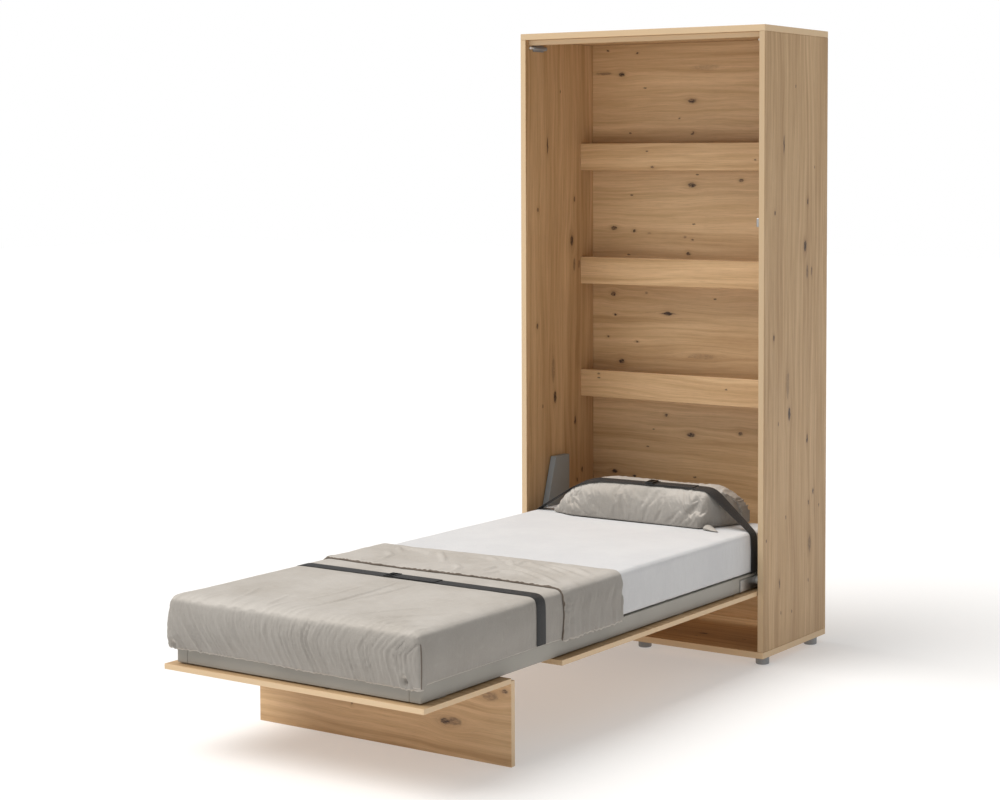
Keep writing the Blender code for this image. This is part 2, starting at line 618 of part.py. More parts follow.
oak = make_material("oak", (0.50, 0.33, 0.17), 0.55)
birch = make_material("birch", (0.72, 0.58, 0.40), 0.55)
frame_paint = make_material("frame_paint", (0.33, 0.32, 0.29), 0.45, 0.2)
steel = make_material("steel", (0.45, 0.46, 0.47), 0.35, 0.9)
black_metal = make_material("black_metal", (0.03, 0.03, 0.03), 0.30, 0.6)
grey_plastic = make_material("grey_plastic", (0.30, 0.31, 0.32), 0.50)
pale_plastic = make_material("pale_plastic", (0.75, 0.75, 0.73), 0.50)
black_plastic = make_material("black_plastic", (0.02, 0.02, 0.02), 0.45)
white_cloth = make_material("white_cloth", (0.80, 0.80, 0.80), 0.90)
beige_cloth = make_material("beige_cloth", (0.42, 0.37, 0.32), 0.85)
black_web = make_material("black_web", (0.02, 0.02, 0.02), 0.80)

make_cabinet()
make_feet()
make_dampers()
make_catch()
make_frame()
make_slats()
make_front_boards()
make_leg()
for side_name, side_sign in sides():
    make_mechanism(side_name, side_sign)
make_bedding()
make_straps()
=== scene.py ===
"""Looks for the folding wall bed: wood, metal and cloth materials, bedding, straps and studio light.

Metres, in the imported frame. Lengths across the depth are measured from the cabinet's front
plane, FRONT, so a point (x, FRONT + y, z) lies y behind that plane.
"""

import math

import bmesh
import bpy
from mathutils import Euler, Matrix, Vector, noise
from mathutils.bvhtree import BVHTree


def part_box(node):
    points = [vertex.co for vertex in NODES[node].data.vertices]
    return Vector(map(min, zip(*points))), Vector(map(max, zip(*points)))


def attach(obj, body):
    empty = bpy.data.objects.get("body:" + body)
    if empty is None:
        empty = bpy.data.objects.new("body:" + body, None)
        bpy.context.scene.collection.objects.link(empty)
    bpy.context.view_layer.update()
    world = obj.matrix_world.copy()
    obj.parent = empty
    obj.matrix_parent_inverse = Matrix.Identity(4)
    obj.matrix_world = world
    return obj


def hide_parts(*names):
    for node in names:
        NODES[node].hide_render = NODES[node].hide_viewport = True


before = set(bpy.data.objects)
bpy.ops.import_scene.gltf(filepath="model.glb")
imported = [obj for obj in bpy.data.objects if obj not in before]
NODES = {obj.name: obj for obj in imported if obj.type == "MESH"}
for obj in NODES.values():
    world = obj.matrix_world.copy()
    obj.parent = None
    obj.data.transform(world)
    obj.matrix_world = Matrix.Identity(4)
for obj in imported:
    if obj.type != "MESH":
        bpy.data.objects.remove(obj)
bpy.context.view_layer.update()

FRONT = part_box("side_panel_right")[0].y
MATTRESS_LOW, MATTRESS_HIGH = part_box("mattress")
FRAME_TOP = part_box("frame_foot_rail")[1].z
FRAME_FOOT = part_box("frame_foot_rail")[0].y
BLANKET_LOW, BLANKET_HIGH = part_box("blanket")
PILLOW_LOW, PILLOW_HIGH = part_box("pillow")
FOOT_STRAP_Y = sum(corner.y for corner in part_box("foot_strap")) / 2
HEAD_STRAP_Y = sum(corner.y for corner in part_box("head_strap")) / 2
STRAP_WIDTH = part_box("foot_strap")[1].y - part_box("foot_strap")[0].y
STRAP_THICKNESS = 0.0018
SHEET_TOP = MATTRESS_HIGH.z
EDGE_RADIUS = 0.018  # rounding of the mattress's upper edges
HEM_RADIUS = 0.014  # rounding of its lower edges


# ---------------------------------------------------------------- node helpers
class Nodes:
    """A node tree under construction: short calls that add and link its nodes."""

    def __init__(self, tree):
        self.tree = tree

    def add(self, kind, inputs=None, **settings):
        node = self.tree.nodes.new("ShaderNode" + kind)
        for key, value in settings.items():
            setattr(node, key, value)
        for key, value in (inputs or {}).items():
            self.feed(node.inputs[key], value)
        return node

    def feed(self, socket, value):
        if isinstance(value, bpy.types.NodeSocket):
            self.tree.links.new(value, socket)
        else:
            socket.default_value = value

    def math(self, operation, first, second=0.0, clamp=False):
        return self.add("Math", {0: first, 1: second}, operation=operation, use_clamp=clamp).outputs[0]

    def times(self, first, second, clamp=False):
        return self.math("MULTIPLY", first, second, clamp)

    def plus(self, first, second, clamp=False):
        return self.math("ADD", first, second, clamp)

    def vector_math(self, operation, first, second):
        return self.add("VectorMath", {0: first, 1: second}, operation=operation).outputs[0]

    def coordinates(self):
        return self.add("TexCoord").outputs["Object"]

    def split(self, vector):
        return self.add("SeparateXYZ", {"Vector": vector}).outputs

    def facing(self, axis):
        """How far the surface faces along an axis of the piece: 1 straight at it, 0 side on."""
        normal = self.split(self.add("TexCoord").outputs["Normal"])
        return self.math("ABSOLUTE", normal[axis])

    def stretched(self, vector, scale, shift=(0.0, 0.0, 0.0)):
        mapping = self.add("Mapping", {"Vector": vector, "Scale": scale, "Location": shift})
        return mapping.outputs["Vector"]

    def noise(self, vector, scale=1.0, detail=3.0, roughness=0.5):
        node = self.add("TexNoise", {"Vector": vector, "Scale": scale, "Detail": detail,
                                     "Roughness": roughness})
        return node.outputs["Fac"]

    def streaks(self, vector, scale, detail=3.0, roughness=0.5, shift=(0.0, 0.0, 0.0)):
        """Noise drawn out along the axes whose scale is small."""
        return self.noise(self.stretched(vector, scale, shift), 1.0, detail, roughness)

    def ramp(self, value, low, high, start=0.0, end=1.0):
        node = self.add("MapRange", {"Value": value, "From Min": low, "From Max": high,
                                     "To Min": start, "To Max": end}, interpolation_type="SMOOTHSTEP")
        return node.outputs["Result"]

    def mix(self, factor, first, second, blend="MIX"):
        node = self.add("Mix", data_type="RGBA", blend_type=blend, clamp_factor=True)
        self.feed(node.inputs[0], factor)
        for socket, value in ((node.inputs[6], first), (node.inputs[7], second)):
            self.feed(socket, value if isinstance(value, bpy.types.NodeSocket) else (*value, 1.0))
        return node.outputs[2]

    def bump(self, height, distance, strength=1.0, before=None):
        inputs = {"Height": height, "Distance": distance, "Strength": strength}
        if before:
            inputs["Normal"] = before
        return self.add("Bump", inputs).outputs["Normal"]


class Shading(Nodes):
    """A material under construction, round one Principled shader."""

    def __init__(self, name, roughness=0.5, metallic=0.0):
        self.material = bpy.data.materials.new(name)
        self.material.use_nodes = True
        super().__init__(self.material.node_tree)
        self.shader = self.tree.nodes["Principled BSDF"]
        self.shader.inputs["Roughness"].default_value = roughness
        self.shader.inputs["Metallic"].default_value = metallic

    def finish(self, **inputs):
        for key, value in inputs.items():
            self.feed(self.shader.inputs[key.replace("_", " ")], value)
        return self.material


# ---------------------------------------------------------------- wood
OAK_LIGHT = (0.745, 0.512, 0.285)
OAK_DARK = (0.430, 0.254, 0.112)
OAK_RED = (0.300, 0.165, 0.080)
KNOT_CORE = (0.045, 0.024, 0.014)
BANDING = (0.700, 0.520, 0.325)


def knot_group():
    """A node group: how one knot bends the growth lines, and how dark its core and halo are."""
    tree = bpy.data.node_groups.new("knot", "ShaderNodeTree")
    for name, kind in (("Place", "NodeSocketVector"), ("Centre", "NodeSocketVector"),
                       ("Reach", "NodeSocketVector")):
        tree.interface.new_socket(name, in_out="INPUT", socket_type=kind)
    for name in ("Bend", "Core", "Halo"):
        tree.interface.new_socket(name, in_out="OUTPUT", socket_type="NodeSocketFloat")
    nodes = Nodes(tree)
    start = tree.nodes.new("NodeGroupInput").outputs
    end = tree.nodes.new("NodeGroupOutput")
    away = nodes.vector_math("SUBTRACT", start["Place"], start["Centre"])
    scaled = nodes.vector_math("DIVIDE", away, start["Reach"])
    distance = nodes.add("VectorMath", {0: scaled}, operation="LENGTH").outputs["Value"]
    square = nodes.times(distance, distance)
    wide_halo = nodes.math("EXPONENT", nodes.times(square, -0.16))
    bend = nodes.times(nodes.times(nodes.split(away)["Y"], wide_halo), -0.8)
    core = nodes.ramp(distance, 1.05, 0.55)
    halo = nodes.math("EXPONENT", nodes.times(square, -0.55))
    for name, value in (("Bend", bend), ("Core", core), ("Halo", halo)):
        tree.links.new(value, end.inputs[name])
    return tree


KNOT_GROUP = knot_group()


def oak(name, grain, across, knots, seed, tone=1.0):
    """Knotty oak board: knots are (along the grain, across it, half length, half width, strength); tone
    scales the whole colour, painted light above 1 and painted shade below 1.
    """
    shade = Shading(name, 0.48)
    third = ({"X", "Y", "Z"} - {grain, across}).pop()
    axes = shade.split(shade.coordinates())
    along_raw, across_raw = axes[grain], axes[across]
    if across == "Y":
        across_raw = shade.math("SUBTRACT", across_raw, FRONT)
    plane = shade.add("CombineXYZ", {"X": along_raw, "Y": across_raw, "Z": seed}).outputs[0]
    rough = shade.add("TexNoise", {"Vector": plane, "Scale": 90.0, "Detail": 2.0}).outputs["Color"]
    shift = shade.vector_math("SUBTRACT", rough, (0.5, 0.5, 0.5))
    torn = shade.vector_math("ADD", plane, shade.vector_math("MULTIPLY", shift, (0.012, 0.006, 0.0)))
    flat = shade.vector_math("MULTIPLY", torn, (1.0, 1.0, 0.0))
    bend, core, halo = 0.0, 0.0, 0.0
    for along, side, half_long, half_wide, strength in knots:
        knot = shade.add("Group", node_tree=KNOT_GROUP)
        shade.feed(knot.inputs["Place"], flat)
        knot.inputs["Centre"].default_value = (along, side, 0.0)
        knot.inputs["Reach"].default_value = (half_long, half_wide, 1.0)
        bend = shade.plus(knot.outputs["Bend"], bend)
        core = shade.plus(shade.times(knot.outputs["Core"], strength), core)
        halo = shade.plus(shade.times(knot.outputs["Halo"], strength), halo)
    wander = shade.streaks(plane, (0.9, 3.2, 1.0))
    field = shade.plus(shade.plus(across_raw, bend), shade.times(wander, 0.090))
    lines_at = shade.add("CombineXYZ", {"X": along_raw, "Y": field, "Z": axes[third]}).outputs[0]
    broad = shade.streaks(lines_at, (0.5, 11.0, 2.0), 2.0, shift=(seed, seed, 0.0))
    streak = shade.streaks(lines_at, (2.0, 75.0, 30.0), 4.0, 0.6, shift=(0.0, seed, 0.0))
    fine = shade.streaks(lines_at, (9.0, 420.0, 60.0), 3.0, 0.6)
    pores = shade.ramp(shade.streaks(lines_at, (28.0, 1100.0, 300.0), 1.0), 0.60, 0.72)
    streak_tone = shade.ramp(streak, 0.30, 0.75)
    growth = shade.math("SINE", shade.times(field, 2.0 * math.pi * 30.0))
    shade_of = shade.plus(shade.times(shade.ramp(broad, 0.28, 0.72), 0.50), shade.times(streak_tone, 0.50))
    shade_of = shade.plus(shade_of, shade.times(growth, 0.060), clamp=True)
    colour = shade.mix(shade_of, OAK_LIGHT, OAK_DARK)
    colour = shade.mix(shade.times(shade.ramp(fine, 0.35, 0.80), 0.32), colour, OAK_RED)
    colour = shade.mix(shade.times(pores, 0.16), colour, KNOT_CORE)
    pin = shade.add("TexVoronoi", {"Vector": shade.stretched(flat, (3.4, 7.5, 1.0), (seed, 0.0, 0.0)),
                                   "Scale": 1.0, "Randomness": 1.0}, voronoi_dimensions="2D")
    pick = shade.add("SeparateColor", {0: pin.outputs["Color"]}).outputs[0]
    dots = shade.times(shade.ramp(pin.outputs["Distance"], 0.030, 0.014), shade.ramp(pick, 0.50, 0.56))
    colour = shade.mix(shade.times(halo, 0.55, clamp=True), colour, OAK_RED)
    crack = shade.ramp(shade.streaks(torn, (70.0, 200.0, 1.0), 3.0, 0.7), 0.34, 0.60)
    dark = shade.times(core, shade.plus(shade.times(crack, 0.75), 0.35))
    colour = shade.mix(shade.plus(dark, shade.times(dots, 0.75), clamp=True), colour, KNOT_CORE)
    band = shade.mix(shade.times(streak_tone, 0.5), BANDING, OAK_LIGHT)
    band = shade.mix(shade.times(core, 0.8, clamp=True), band, OAK_RED)
    colour = shade.mix(shade.ramp(shade.facing(third), 0.5, 0.3), colour, band)
    # Painted light and shade: the whole colour scaled for how lit the board looks.
    if tone != 1.0:
        colour = shade.mix(1.0, colour, (tone, tone, tone), "MULTIPLY")
    gloss = shade.ramp(streak, 0.2, 0.8, 0.42, 0.56)
    height = shade.plus(shade.times(fine, 0.5), shade.times(pores, -1.0))
    return shade.finish(Base_Color=colour, Roughness=gloss, Normal=shade.bump(height, 0.00025, 0.6))


def birch():
    """Lacquered birch of the slats, with fine straight grain."""
    shade = Shading("birch_slats", 0.42)
    place = shade.coordinates()
    streak = shade.streaks(place, (3.0, 90.0, 60.0), 4.0)
    colour = shade.mix(shade.ramp(streak, 0.3, 0.7), (0.74, 0.60, 0.42), (0.62, 0.46, 0.29))
    return shade.finish(Base_Color=colour, Normal=shade.bump(streak, 0.0002, 0.5))


# ---------------------------------------------------------------- metal and plastic
def scaled(colour, factor):
    return tuple(factor * value for value in colour)


def paint(name, colour, roughness=0.36):
    """Powder coat: a fine orange peel, faint cloudiness and a little dust in the tone."""
    shade = Shading(name, roughness)
    place = shade.coordinates()
    peel = shade.noise(place, 900.0, 2.0)
    cloud = shade.noise(place, 6.0, 3.0)
    mixed = shade.mix(shade.ramp(cloud, 0.35, 0.65), colour, scaled(colour, 0.93))
    gloss = shade.ramp(cloud, 0.3, 0.7, roughness - 0.04, roughness + 0.05)
    return shade.finish(Base_Color=mixed, Roughness=gloss, Normal=shade.bump(peel, 0.00006, 0.5))


def metal(name, colour, roughness):
    """Zinc plated or drawn steel, with fine drawing lines and cloudy plating."""
    shade = Shading(name, roughness, 1.0)
    place = shade.coordinates()
    lines = shade.streaks(place, (8.0, 8.0, 500.0))
    cloud = shade.noise(place, 25.0, 4.0)
    mixed = shade.mix(shade.ramp(cloud, 0.3, 0.7), colour, scaled(colour, 0.80))
    gloss = shade.ramp(cloud, 0.3, 0.7, roughness, roughness + 0.14)
    return shade.finish(Base_Color=mixed, Roughness=gloss, Normal=shade.bump(lines, 0.00005, 0.6))


def plastic(name, colour, roughness):
    """Moulded plastic with a fine spark-eroded grain."""
    shade = Shading(name, roughness)
    place = shade.coordinates()
    grain = shade.noise(place, 1400.0, 2.0)
    cloud = shade.noise(place, 18.0, 2.0)
    mixed = shade.mix(shade.ramp(cloud, 0.3, 0.7), colour, scaled(colour, 0.88))
    return shade.finish(Base_Color=mixed, Normal=shade.bump(grain, 0.00008, 0.7))


# ---------------------------------------------------------------- cloth
def cloth(name, colour, shade_colour, thread, sheen, slub=0.5, gathered=0.5, painted_upright_shade=0.0):
    """Plain weave: crossed threads, slubs and a washed tone; its upright faces hang in fine folds and are
    darkened by a painted shade.
    """
    shade = Shading(name, 0.88)
    place = shade.coordinates()
    parts = shade.split(place)
    wobble = shade.times(shade.noise(place, 60.0, 2.0), thread * 0.6)
    waves = [shade.math("SINE", shade.times(shade.plus(parts[axis], wobble), 2.0 * math.pi / thread))
             for axis in ("X", "Y", "Z")]
    weave = shade.times(shade.times(waves[0], waves[1]), waves[2])
    threads = shade.plus(shade.plus(waves[0], waves[1]), waves[2])
    slubs = shade.streaks(place, (260.0, 24.0, 40.0))
    cross = shade.streaks(place, (24.0, 260.0, 260.0))
    cloud = shade.noise(place, 5.0, 5.0, 0.6)
    mixed = shade.mix(shade.ramp(cloud, 0.30, 0.70), colour, shade_colour)
    fleck = shade.times(shade.ramp(shade.math("MAXIMUM", slubs, cross), 0.55, 0.80), slub)
    mixed = shade.mix(fleck, mixed, scaled(colour, 1.18))
    mixed = shade.mix(shade.ramp(weave, -0.6, 0.6, 0.10, 0.0), mixed, scaled(colour, 0.5))
    height = shade.plus(shade.times(threads, 0.33), shade.times(slubs, 0.8))
    crumple = shade.noise(place, 46.0, 4.0, 0.6)
    hanging = shade.streaks(place, (110.0, 110.0, 11.0), 2.0)
    upright = shade.ramp(shade.facing("Z"), 0.75, 0.35, 0.10, 1.0)
    normal = shade.bump(crumple, 0.0022, 0.45)
    normal = shade.bump(shade.times(hanging, upright), 0.0030, gathered, normal)
    normal = shade.bump(height, 0.00018, 0.7, normal)
    # Painted shade: the upright faces darker than the top, as the light comes from above.
    mixed = shade.mix(shade.times(upright, painted_upright_shade), mixed, scaled(colour, 0.4))
    return shade.finish(Base_Color=mixed, Normal=normal, Sheen_Weight=sheen, Sheen_Roughness=0.45,
                        Specular_IOR_Level=0.25)


def webbing(name, colour):
    """Woven polyester band: herringbone ribs along it, a slight shine on the rib tops painted in as a lighter
    colour, and lighter worn patches.
    """
    shade = Shading(name, 0.55)
    place = shade.coordinates()
    parts = shade.split(place)
    ribs = shade.math("SINE", shade.times(parts["Y"], 2.0 * math.pi / 0.0028))
    run = shade.plus(parts["X"], parts["Z"])
    slant = shade.plus(shade.times(run, 2.0 * math.pi / 0.0022), shade.times(ribs, 1.6))
    height = shade.plus(ribs, shade.times(shade.math("SINE", slant), 0.5))
    wear = shade.ramp(shade.noise(place, 40.0), 0.45, 0.75)
    # A lighter colour: painted highlight on the rib tops, and the tone of worn patches.
    shine_and_wear_tone = scaled(colour, 1.8)
    mixed = shade.mix(shade.times(shade.ramp(height, -0.4, 1.4), 0.45), colour, shine_and_wear_tone)
    mixed = shade.mix(shade.times(wear, 0.25), mixed, shine_and_wear_tone)
    return shade.finish(Base_Color=mixed, Normal=shade.bump(height, 0.00025, 0.8), Sheen_Weight=0.08)


# ---------------------------------------------------------------- mesh helpers
def placed(name, data):
    """A new object in the scene that holds the data."""
    made = bpy.data.objects.new(name, data)
    bpy.context.scene.collection.objects.link(made)
    return made


def mesh_of(shape, name):
    mesh = bpy.data.meshes.new(name)
    shape.to_mesh(mesh)
    shape.free()
    return mesh


def skin(shape, rows):
    """A closed body round rings of vertices, with a face over each end."""
    for lower, upper in zip(rows, rows[1:]):
        for step in range(len(lower)):
            after = (step + 1) % len(lower)
            shape.faces.new((lower[step], lower[after], upper[after], upper[step]))
    shape.faces.new(rows[0])
    shape.faces.new(rows[-1])
    bmesh.ops.recalc_face_normals(shape, faces=shape.faces)


def add_piece(name, mesh, material, body="bed", shade_smooth=True):
    """A visible piece that rides on the body and shows the given material."""
    piece = placed(name, mesh)
    mesh.materials.append(material)
    if shade_smooth:
        mesh.shade_smooth()
    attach(piece, body)
    return piece


def box_grid(name, low, high, step, wanted):
    """The surface of a box as square cells; wanted(point) says which cells to keep."""
    low, high = Vector(low), Vector(high)
    size = high - low
    counts = [max(2, round(size[axis] / step)) for axis in range(3)]
    shape = bmesh.new()
    found = {}

    def corner(cell):
        if cell not in found:
            place = [low[axis] + size[axis] * cell[axis] / counts[axis] for axis in range(3)]
            found[cell] = shape.verts.new(place)
        return found[cell]

    for axis in range(3):
        one, two = (axis + 1) % 3, (axis + 2) % 3
        for level in (0, counts[axis]):
            for i in range(counts[one]):
                for j in range(counts[two]):
                    cells = []
                    for di, dj in ((0, 0), (1, 0), (1, 1), (0, 1)):
                        cell = [0, 0, 0]
                        cell[axis], cell[one], cell[two] = level, i + di, j + dj
                        cells.append(tuple(cell))
                    middle = Vector()
                    for cell in cells:
                        for k in range(3):
                            middle[k] += (low[k] + size[k] * cell[k] / counts[k]) / 4
                    if wanted(middle):
                        order = cells if level else cells[::-1]
                        shape.faces.new([corner(cell) for cell in order])
    return mesh_of(shape, name)


class RoundedBox:
    """A box with rounded edges, softer above than below: places points, and measures how far out one is."""

    def __init__(self, low, high, upper_radius, lower_radius, power=2.0):
        self.low, self.high = Vector(low), Vector(high)
        self.upper_radius, self.lower_radius, self.power = upper_radius, lower_radius, power

    def radius(self, point):
        share = smooth(point.z, self.low.z + self.lower_radius, self.high.z - self.upper_radius)
        return self.lower_radius + (self.upper_radius - self.lower_radius) * share

    def away(self, point):
        """From the box's straight core to the point."""
        radius = self.radius(point)
        return Vector([point[k] - min(max(point[k], self.low[k] + radius), self.high[k] - radius)
                       for k in range(3)])

    def span(self, away):
        return sum(abs(part) ** self.power for part in away) ** (1.0 / self.power)

    def place(self, point):
        away = self.away(point)
        if not away.length:
            return point.copy()
        return point - away + away * (self.radius(point) / self.span(away))

    def outward(self, point):
        away = self.away(point)
        if not away.length:
            return Vector((0.0, 0.0, 1.0))
        return Vector([math.copysign(abs(part) ** (self.power - 1.0), part) for part in away]).normalized()

    def height(self, point):
        return self.span(self.away(point)) - self.radius(point)


def wave(x, y, z=0.0):
    """Smooth noise from about -1 to 1."""
    return noise.noise(Vector((x, y, z)))


def ridges(sharpness, x, y, z=0.0):
    """Narrow crests, from 0 to 1, along the lines where the noise crosses zero."""
    return max(0.0, 1.0 - abs(wave(x, y, z)) * sharpness)


def smooth(value, low, high):
    """An eased step from 0 below low to 1 above high."""
    fraction = min(max((value - low) / (high - low), 0.0), 1.0)
    return fraction * fraction * (3.0 - 2.0 * fraction)


def solidify(piece, thickness):
    """Gives the sheet its thickness, inwards from where it is."""
    shell = piece.modifiers.new("thickness", "SOLIDIFY")
    shell.thickness = thickness
    shell.offset = -1.0


def subdivide(piece):
    change = piece.modifiers.new("finer", "SUBSURF")
    change.levels = change.render_levels = 1


def baked(piece):
    """Replaces the piece's mesh by what its modifiers make of it, and drops them."""
    graph = bpy.context.evaluated_depsgraph_get()
    mesh = bpy.data.meshes.new_from_object(piece.evaluated_get(graph), depsgraph=graph)
    piece.modifiers.clear()
    old = piece.data
    piece.data = mesh
    mesh.name = piece.name
    bpy.data.meshes.remove(old)
    mesh.shade_smooth()


def vertex_group(piece, name, weight):
    group = piece.vertex_groups.new(name=name)
    for vertex in piece.data.vertices:
        value = weight(vertex.co)
        if value > 0.0:
            group.add([vertex.index], value, "REPLACE")
    return name


def simulate(piece, pinned, frames, cap, pressure, stiffness, bending, swell=0.0):
    """Runs Blender's cloth on the piece and keeps its shape, no point moving more than cap.

    pinned(point) says how firmly a point is held, from 0 to 1; swell is a share of growth in all directions.
    """
    rest = [vertex.co.copy() for vertex in piece.data.vertices]
    change = piece.modifiers.new("cloth", "CLOTH")
    settings = change.settings
    settings.quality = 6
    settings.mass = 0.25
    settings.tension_stiffness = stiffness
    settings.compression_stiffness = stiffness
    settings.shear_stiffness = stiffness * 0.4
    settings.bending_stiffness = bending
    settings.effector_weights.gravity = 0.0
    change.collision_settings.use_self_collision = False
    settings.vertex_group_mass = vertex_group(piece, "pinned", pinned)
    settings.use_pressure = True
    settings.uniform_pressure_force = pressure
    settings.shrink_min = -swell
    change.point_cache.frame_start = 1
    change.point_cache.frame_end = frames
    scene = bpy.context.scene
    for number in range(1, frames + 1):
        scene.frame_set(number)
    graph = bpy.context.evaluated_depsgraph_get()
    moved = [vertex.co.copy() for vertex in piece.evaluated_get(graph).data.vertices]
    piece.modifiers.remove(change)
    piece.vertex_groups.clear()
    scene.frame_set(1)
    for vertex, before, after in zip(piece.data.vertices, rest, moved):
        step = after - before
        if step.length > cap:
            step *= cap / step.length
        vertex.co = before + step


# ---------------------------------------------------------------- materials
SIDE_KNOTS = ((1.776, 0.137, 0.036, 0.0045, 1.0), (1.426, 0.294, 0.022, 0.011, 1.1),
              (1.580, 0.312, 0.011, 0.006, 0.9), (1.335, 0.310, 0.028, 0.008, 0.6),
              (1.336, 0.342, 0.018, 0.006, 0.7), (1.543, 0.075, 0.010, 0.006, 0.8),
              (1.118, 0.069, 0.011, 0.006, 0.9), (0.951, 0.170, 0.060, 0.012, 0.40),
              (0.848, 0.182, 0.026, 0.010, 1.0), (0.749, 0.315, 0.020, 0.005, 1.0),
              (0.555, 0.361, 0.012, 0.006, 0.9), (0.520, 0.327, 0.009, 0.005, 0.8),
              (0.373, 0.335, 0.034, 0.012, 0.5), (0.266, 0.115, 0.022, 0.005, 0.7))
BACK_KNOTS = ((-0.351, 2.046, 0.015, 0.010, 1.0), (-0.430, 2.050, 0.045, 0.006, 0.55),
              (0.013, 2.064, 0.070, 0.012, 0.20), (-0.043, 1.942, 0.020, 0.010, 1.0),
              (-0.412, 2.136, 0.006, 0.004, 0.9), (-0.281, 2.123, 0.007, 0.004, 0.9),
              (-0.097, 1.879, 0.005, 0.004, 0.8), (-0.037, 1.827, 0.006, 0.004, 0.8),
              (-0.043, 1.633, 0.020, 0.010, 1.0), (0.165, 1.651, 0.011, 0.007, 0.9),
              (-0.385, 1.470, 0.016, 0.009, 1.0), (-0.294, 1.461, 0.009, 0.006, 1.0),
              (-0.227, 1.453, 0.009, 0.004, 0.35), (-0.058, 1.380, 0.010, 0.008, 0.8),
              (-0.072, 1.441, 0.006, 0.004, 0.7), (-0.041, 1.432, 0.006, 0.004, 0.7),
              (-0.388, 1.221, 0.012, 0.010, 1.0), (-0.380, 1.143, 0.008, 0.005, 0.9),
              (-0.146, 1.155, 0.020, 0.009, 1.1), (-0.146, 1.155, 0.042, 0.003, 0.6),
              (-0.241, 1.230, 0.007, 0.005, 0.4), (-0.282, 1.045, 0.007, 0.004, 0.8),
              (-0.412, 1.058, 0.006, 0.004, 0.8), (-0.351, 0.968, 0.015, 0.010, 1.0),
              (0.002, 1.002, 0.070, 0.012, 0.20), (-0.153, 0.775, 0.009, 0.006, 0.9),
              (-0.046, 0.709, 0.020, 0.010, 1.0), (0.165, 0.727, 0.011, 0.007, 0.9),
              (-0.383, 0.547, 0.016, 0.009, 1.0), (-0.294, 0.536, 0.009, 0.006, 1.0))
RAIL_KNOTS = ((-0.162, 1.699, 0.008, 0.005, 0.9), (0.271, 1.725, 0.005, 0.004, 0.7),
              (-0.400, 0.925, 0.006, 0.004, 0.6))
LEG_KNOTS = ((0.240, 0.100, 0.020, 0.010, 0.9), (0.275, 0.104, 0.030, 0.014, 0.5),
             (-0.060, 0.158, 0.012, 0.008, 1.0), (-0.110, 0.105, 0.004, 0.006, 0.8),
             (0.400, 0.195, 0.035, 0.016, 0.45), (0.455, 0.215, 0.012, 0.008, 0.8))
FLAT_KNOTS = ((0.180, 0.150, 0.020, 0.010, 0.8), (-0.300, 0.300, 0.016, 0.010, 0.9),
              (0.300, -0.900, 0.022, 0.011, 0.9), (-0.220, -1.600, 0.018, 0.010, 0.9),
              (-0.050, -0.400, 0.020, 0.010, 0.8), (0.350, -1.500, 0.012, 0.008, 0.8))
# The last argument paints light and shade into the oak: the inner left side a little lighter, the outer right
# side darker as a shaded copy of the same boards, the rails lighter.
side_oak = oak("side_oak", "Z", "Y", SIDE_KNOTS, 3.1, 1.04)
outer_oak_painted_shade = oak("outer_oak_painted_shade", "Z", "Y", SIDE_KNOTS, 3.1, 0.86)
rail_oak = oak("rail_oak", "X", "Z", RAIL_KNOTS, 5.3, 1.22)
leg_oak = oak("leg_oak", "X", "Z", LEG_KNOTS, 9.2)
flat_oak = oak("flat_oak", "X", "Y", FLAT_KNOTS, 1.4)
slat_birch = birch()
frame_paint = paint("frame_paint", (0.345, 0.325, 0.285))
cover_paint = paint("cover_paint", (0.350, 0.390, 0.415), 0.42)
steel = metal("plated_steel", (0.60, 0.61, 0.62), 0.32)
black_enamel = paint("black_enamel", (0.018, 0.018, 0.019), 0.22)
grey_plastic = plastic("grey_plastic", (0.30, 0.31, 0.32), 0.45)
pale_plastic = plastic("pale_plastic", (0.74, 0.74, 0.72), 0.42)
black_plastic = plastic("black_plastic", (0.016, 0.016, 0.017), 0.38)
# For the sheet and the blanket, the last keyword sets the painted shade of their upright faces.
sheet_cotton = cloth("sheet_cotton", (0.77, 0.77, 0.775), (0.725, 0.725, 0.735), 0.0012, 0.10, 0.15,
                     gathered=1.0, painted_upright_shade=0.15)
# Painted shadow: a dark brown cloth for the free edges of the flap and of the tucked corners, in place of the
# shadow line under them.
painted_edge_shadow_linen = cloth("blanket_hem", (0.200, 0.165, 0.135), (0.150, 0.120, 0.095), 0.0016, 0.05, gathered=0.2)
linen = cloth("blanket_linen", (0.590, 0.552, 0.505), (0.500, 0.460, 0.410), 0.0016, 0.12,
              gathered=0.8, painted_upright_shade=0.62)
ticking = cloth("mattress_ticking", (0.74, 0.73, 0.70), (0.68, 0.67, 0.64), 0.0020, 0.10, 0.4)
strap_web = webbing("strap_web", (0.012, 0.012, 0.013))


def wear(node, material):
    node.data.materials.clear()
    node.data.materials.append(material)


def dress_nodes():
    """Gives every CAD node that stays visible its finished material."""
    rules = ((side_oak, "side_panel_left"), (outer_oak_painted_shade, "side_panel_right"), (rail_oak, "cross_rail"),
             (flat_oak, "top_panel bottom_panel top_batten front_board"), (leg_oak, "leg_board"),
             (grey_plastic, "foot_front foot_back damper_body"),
             (pale_plastic, "damper_plunger pivot_spacer"),
             (steel, "stop_catch leg_hinge swing_lever mechanism_plate pivot_pin gas_rod"),
             (frame_paint, "frame_"), (slat_birch, "slat_deck"), (cover_paint, "mechanism_cover"),
             (black_enamel, "gas_cylinder"))
    for name, node in NODES.items():
        for material, starts in rules:
            if name.startswith(tuple(starts.split())):
                wear(node, material)
        if name.startswith("back_panel"):
            low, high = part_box(name)
            knots = [knot for knot in BACK_KNOTS if low.z < knot[1] < high.z]
            # The last argument, 1.10, paints light into the back panels.
            wear(node, oak(f"{name}_oak", "X", "Z", knots, 7.7, 1.10))


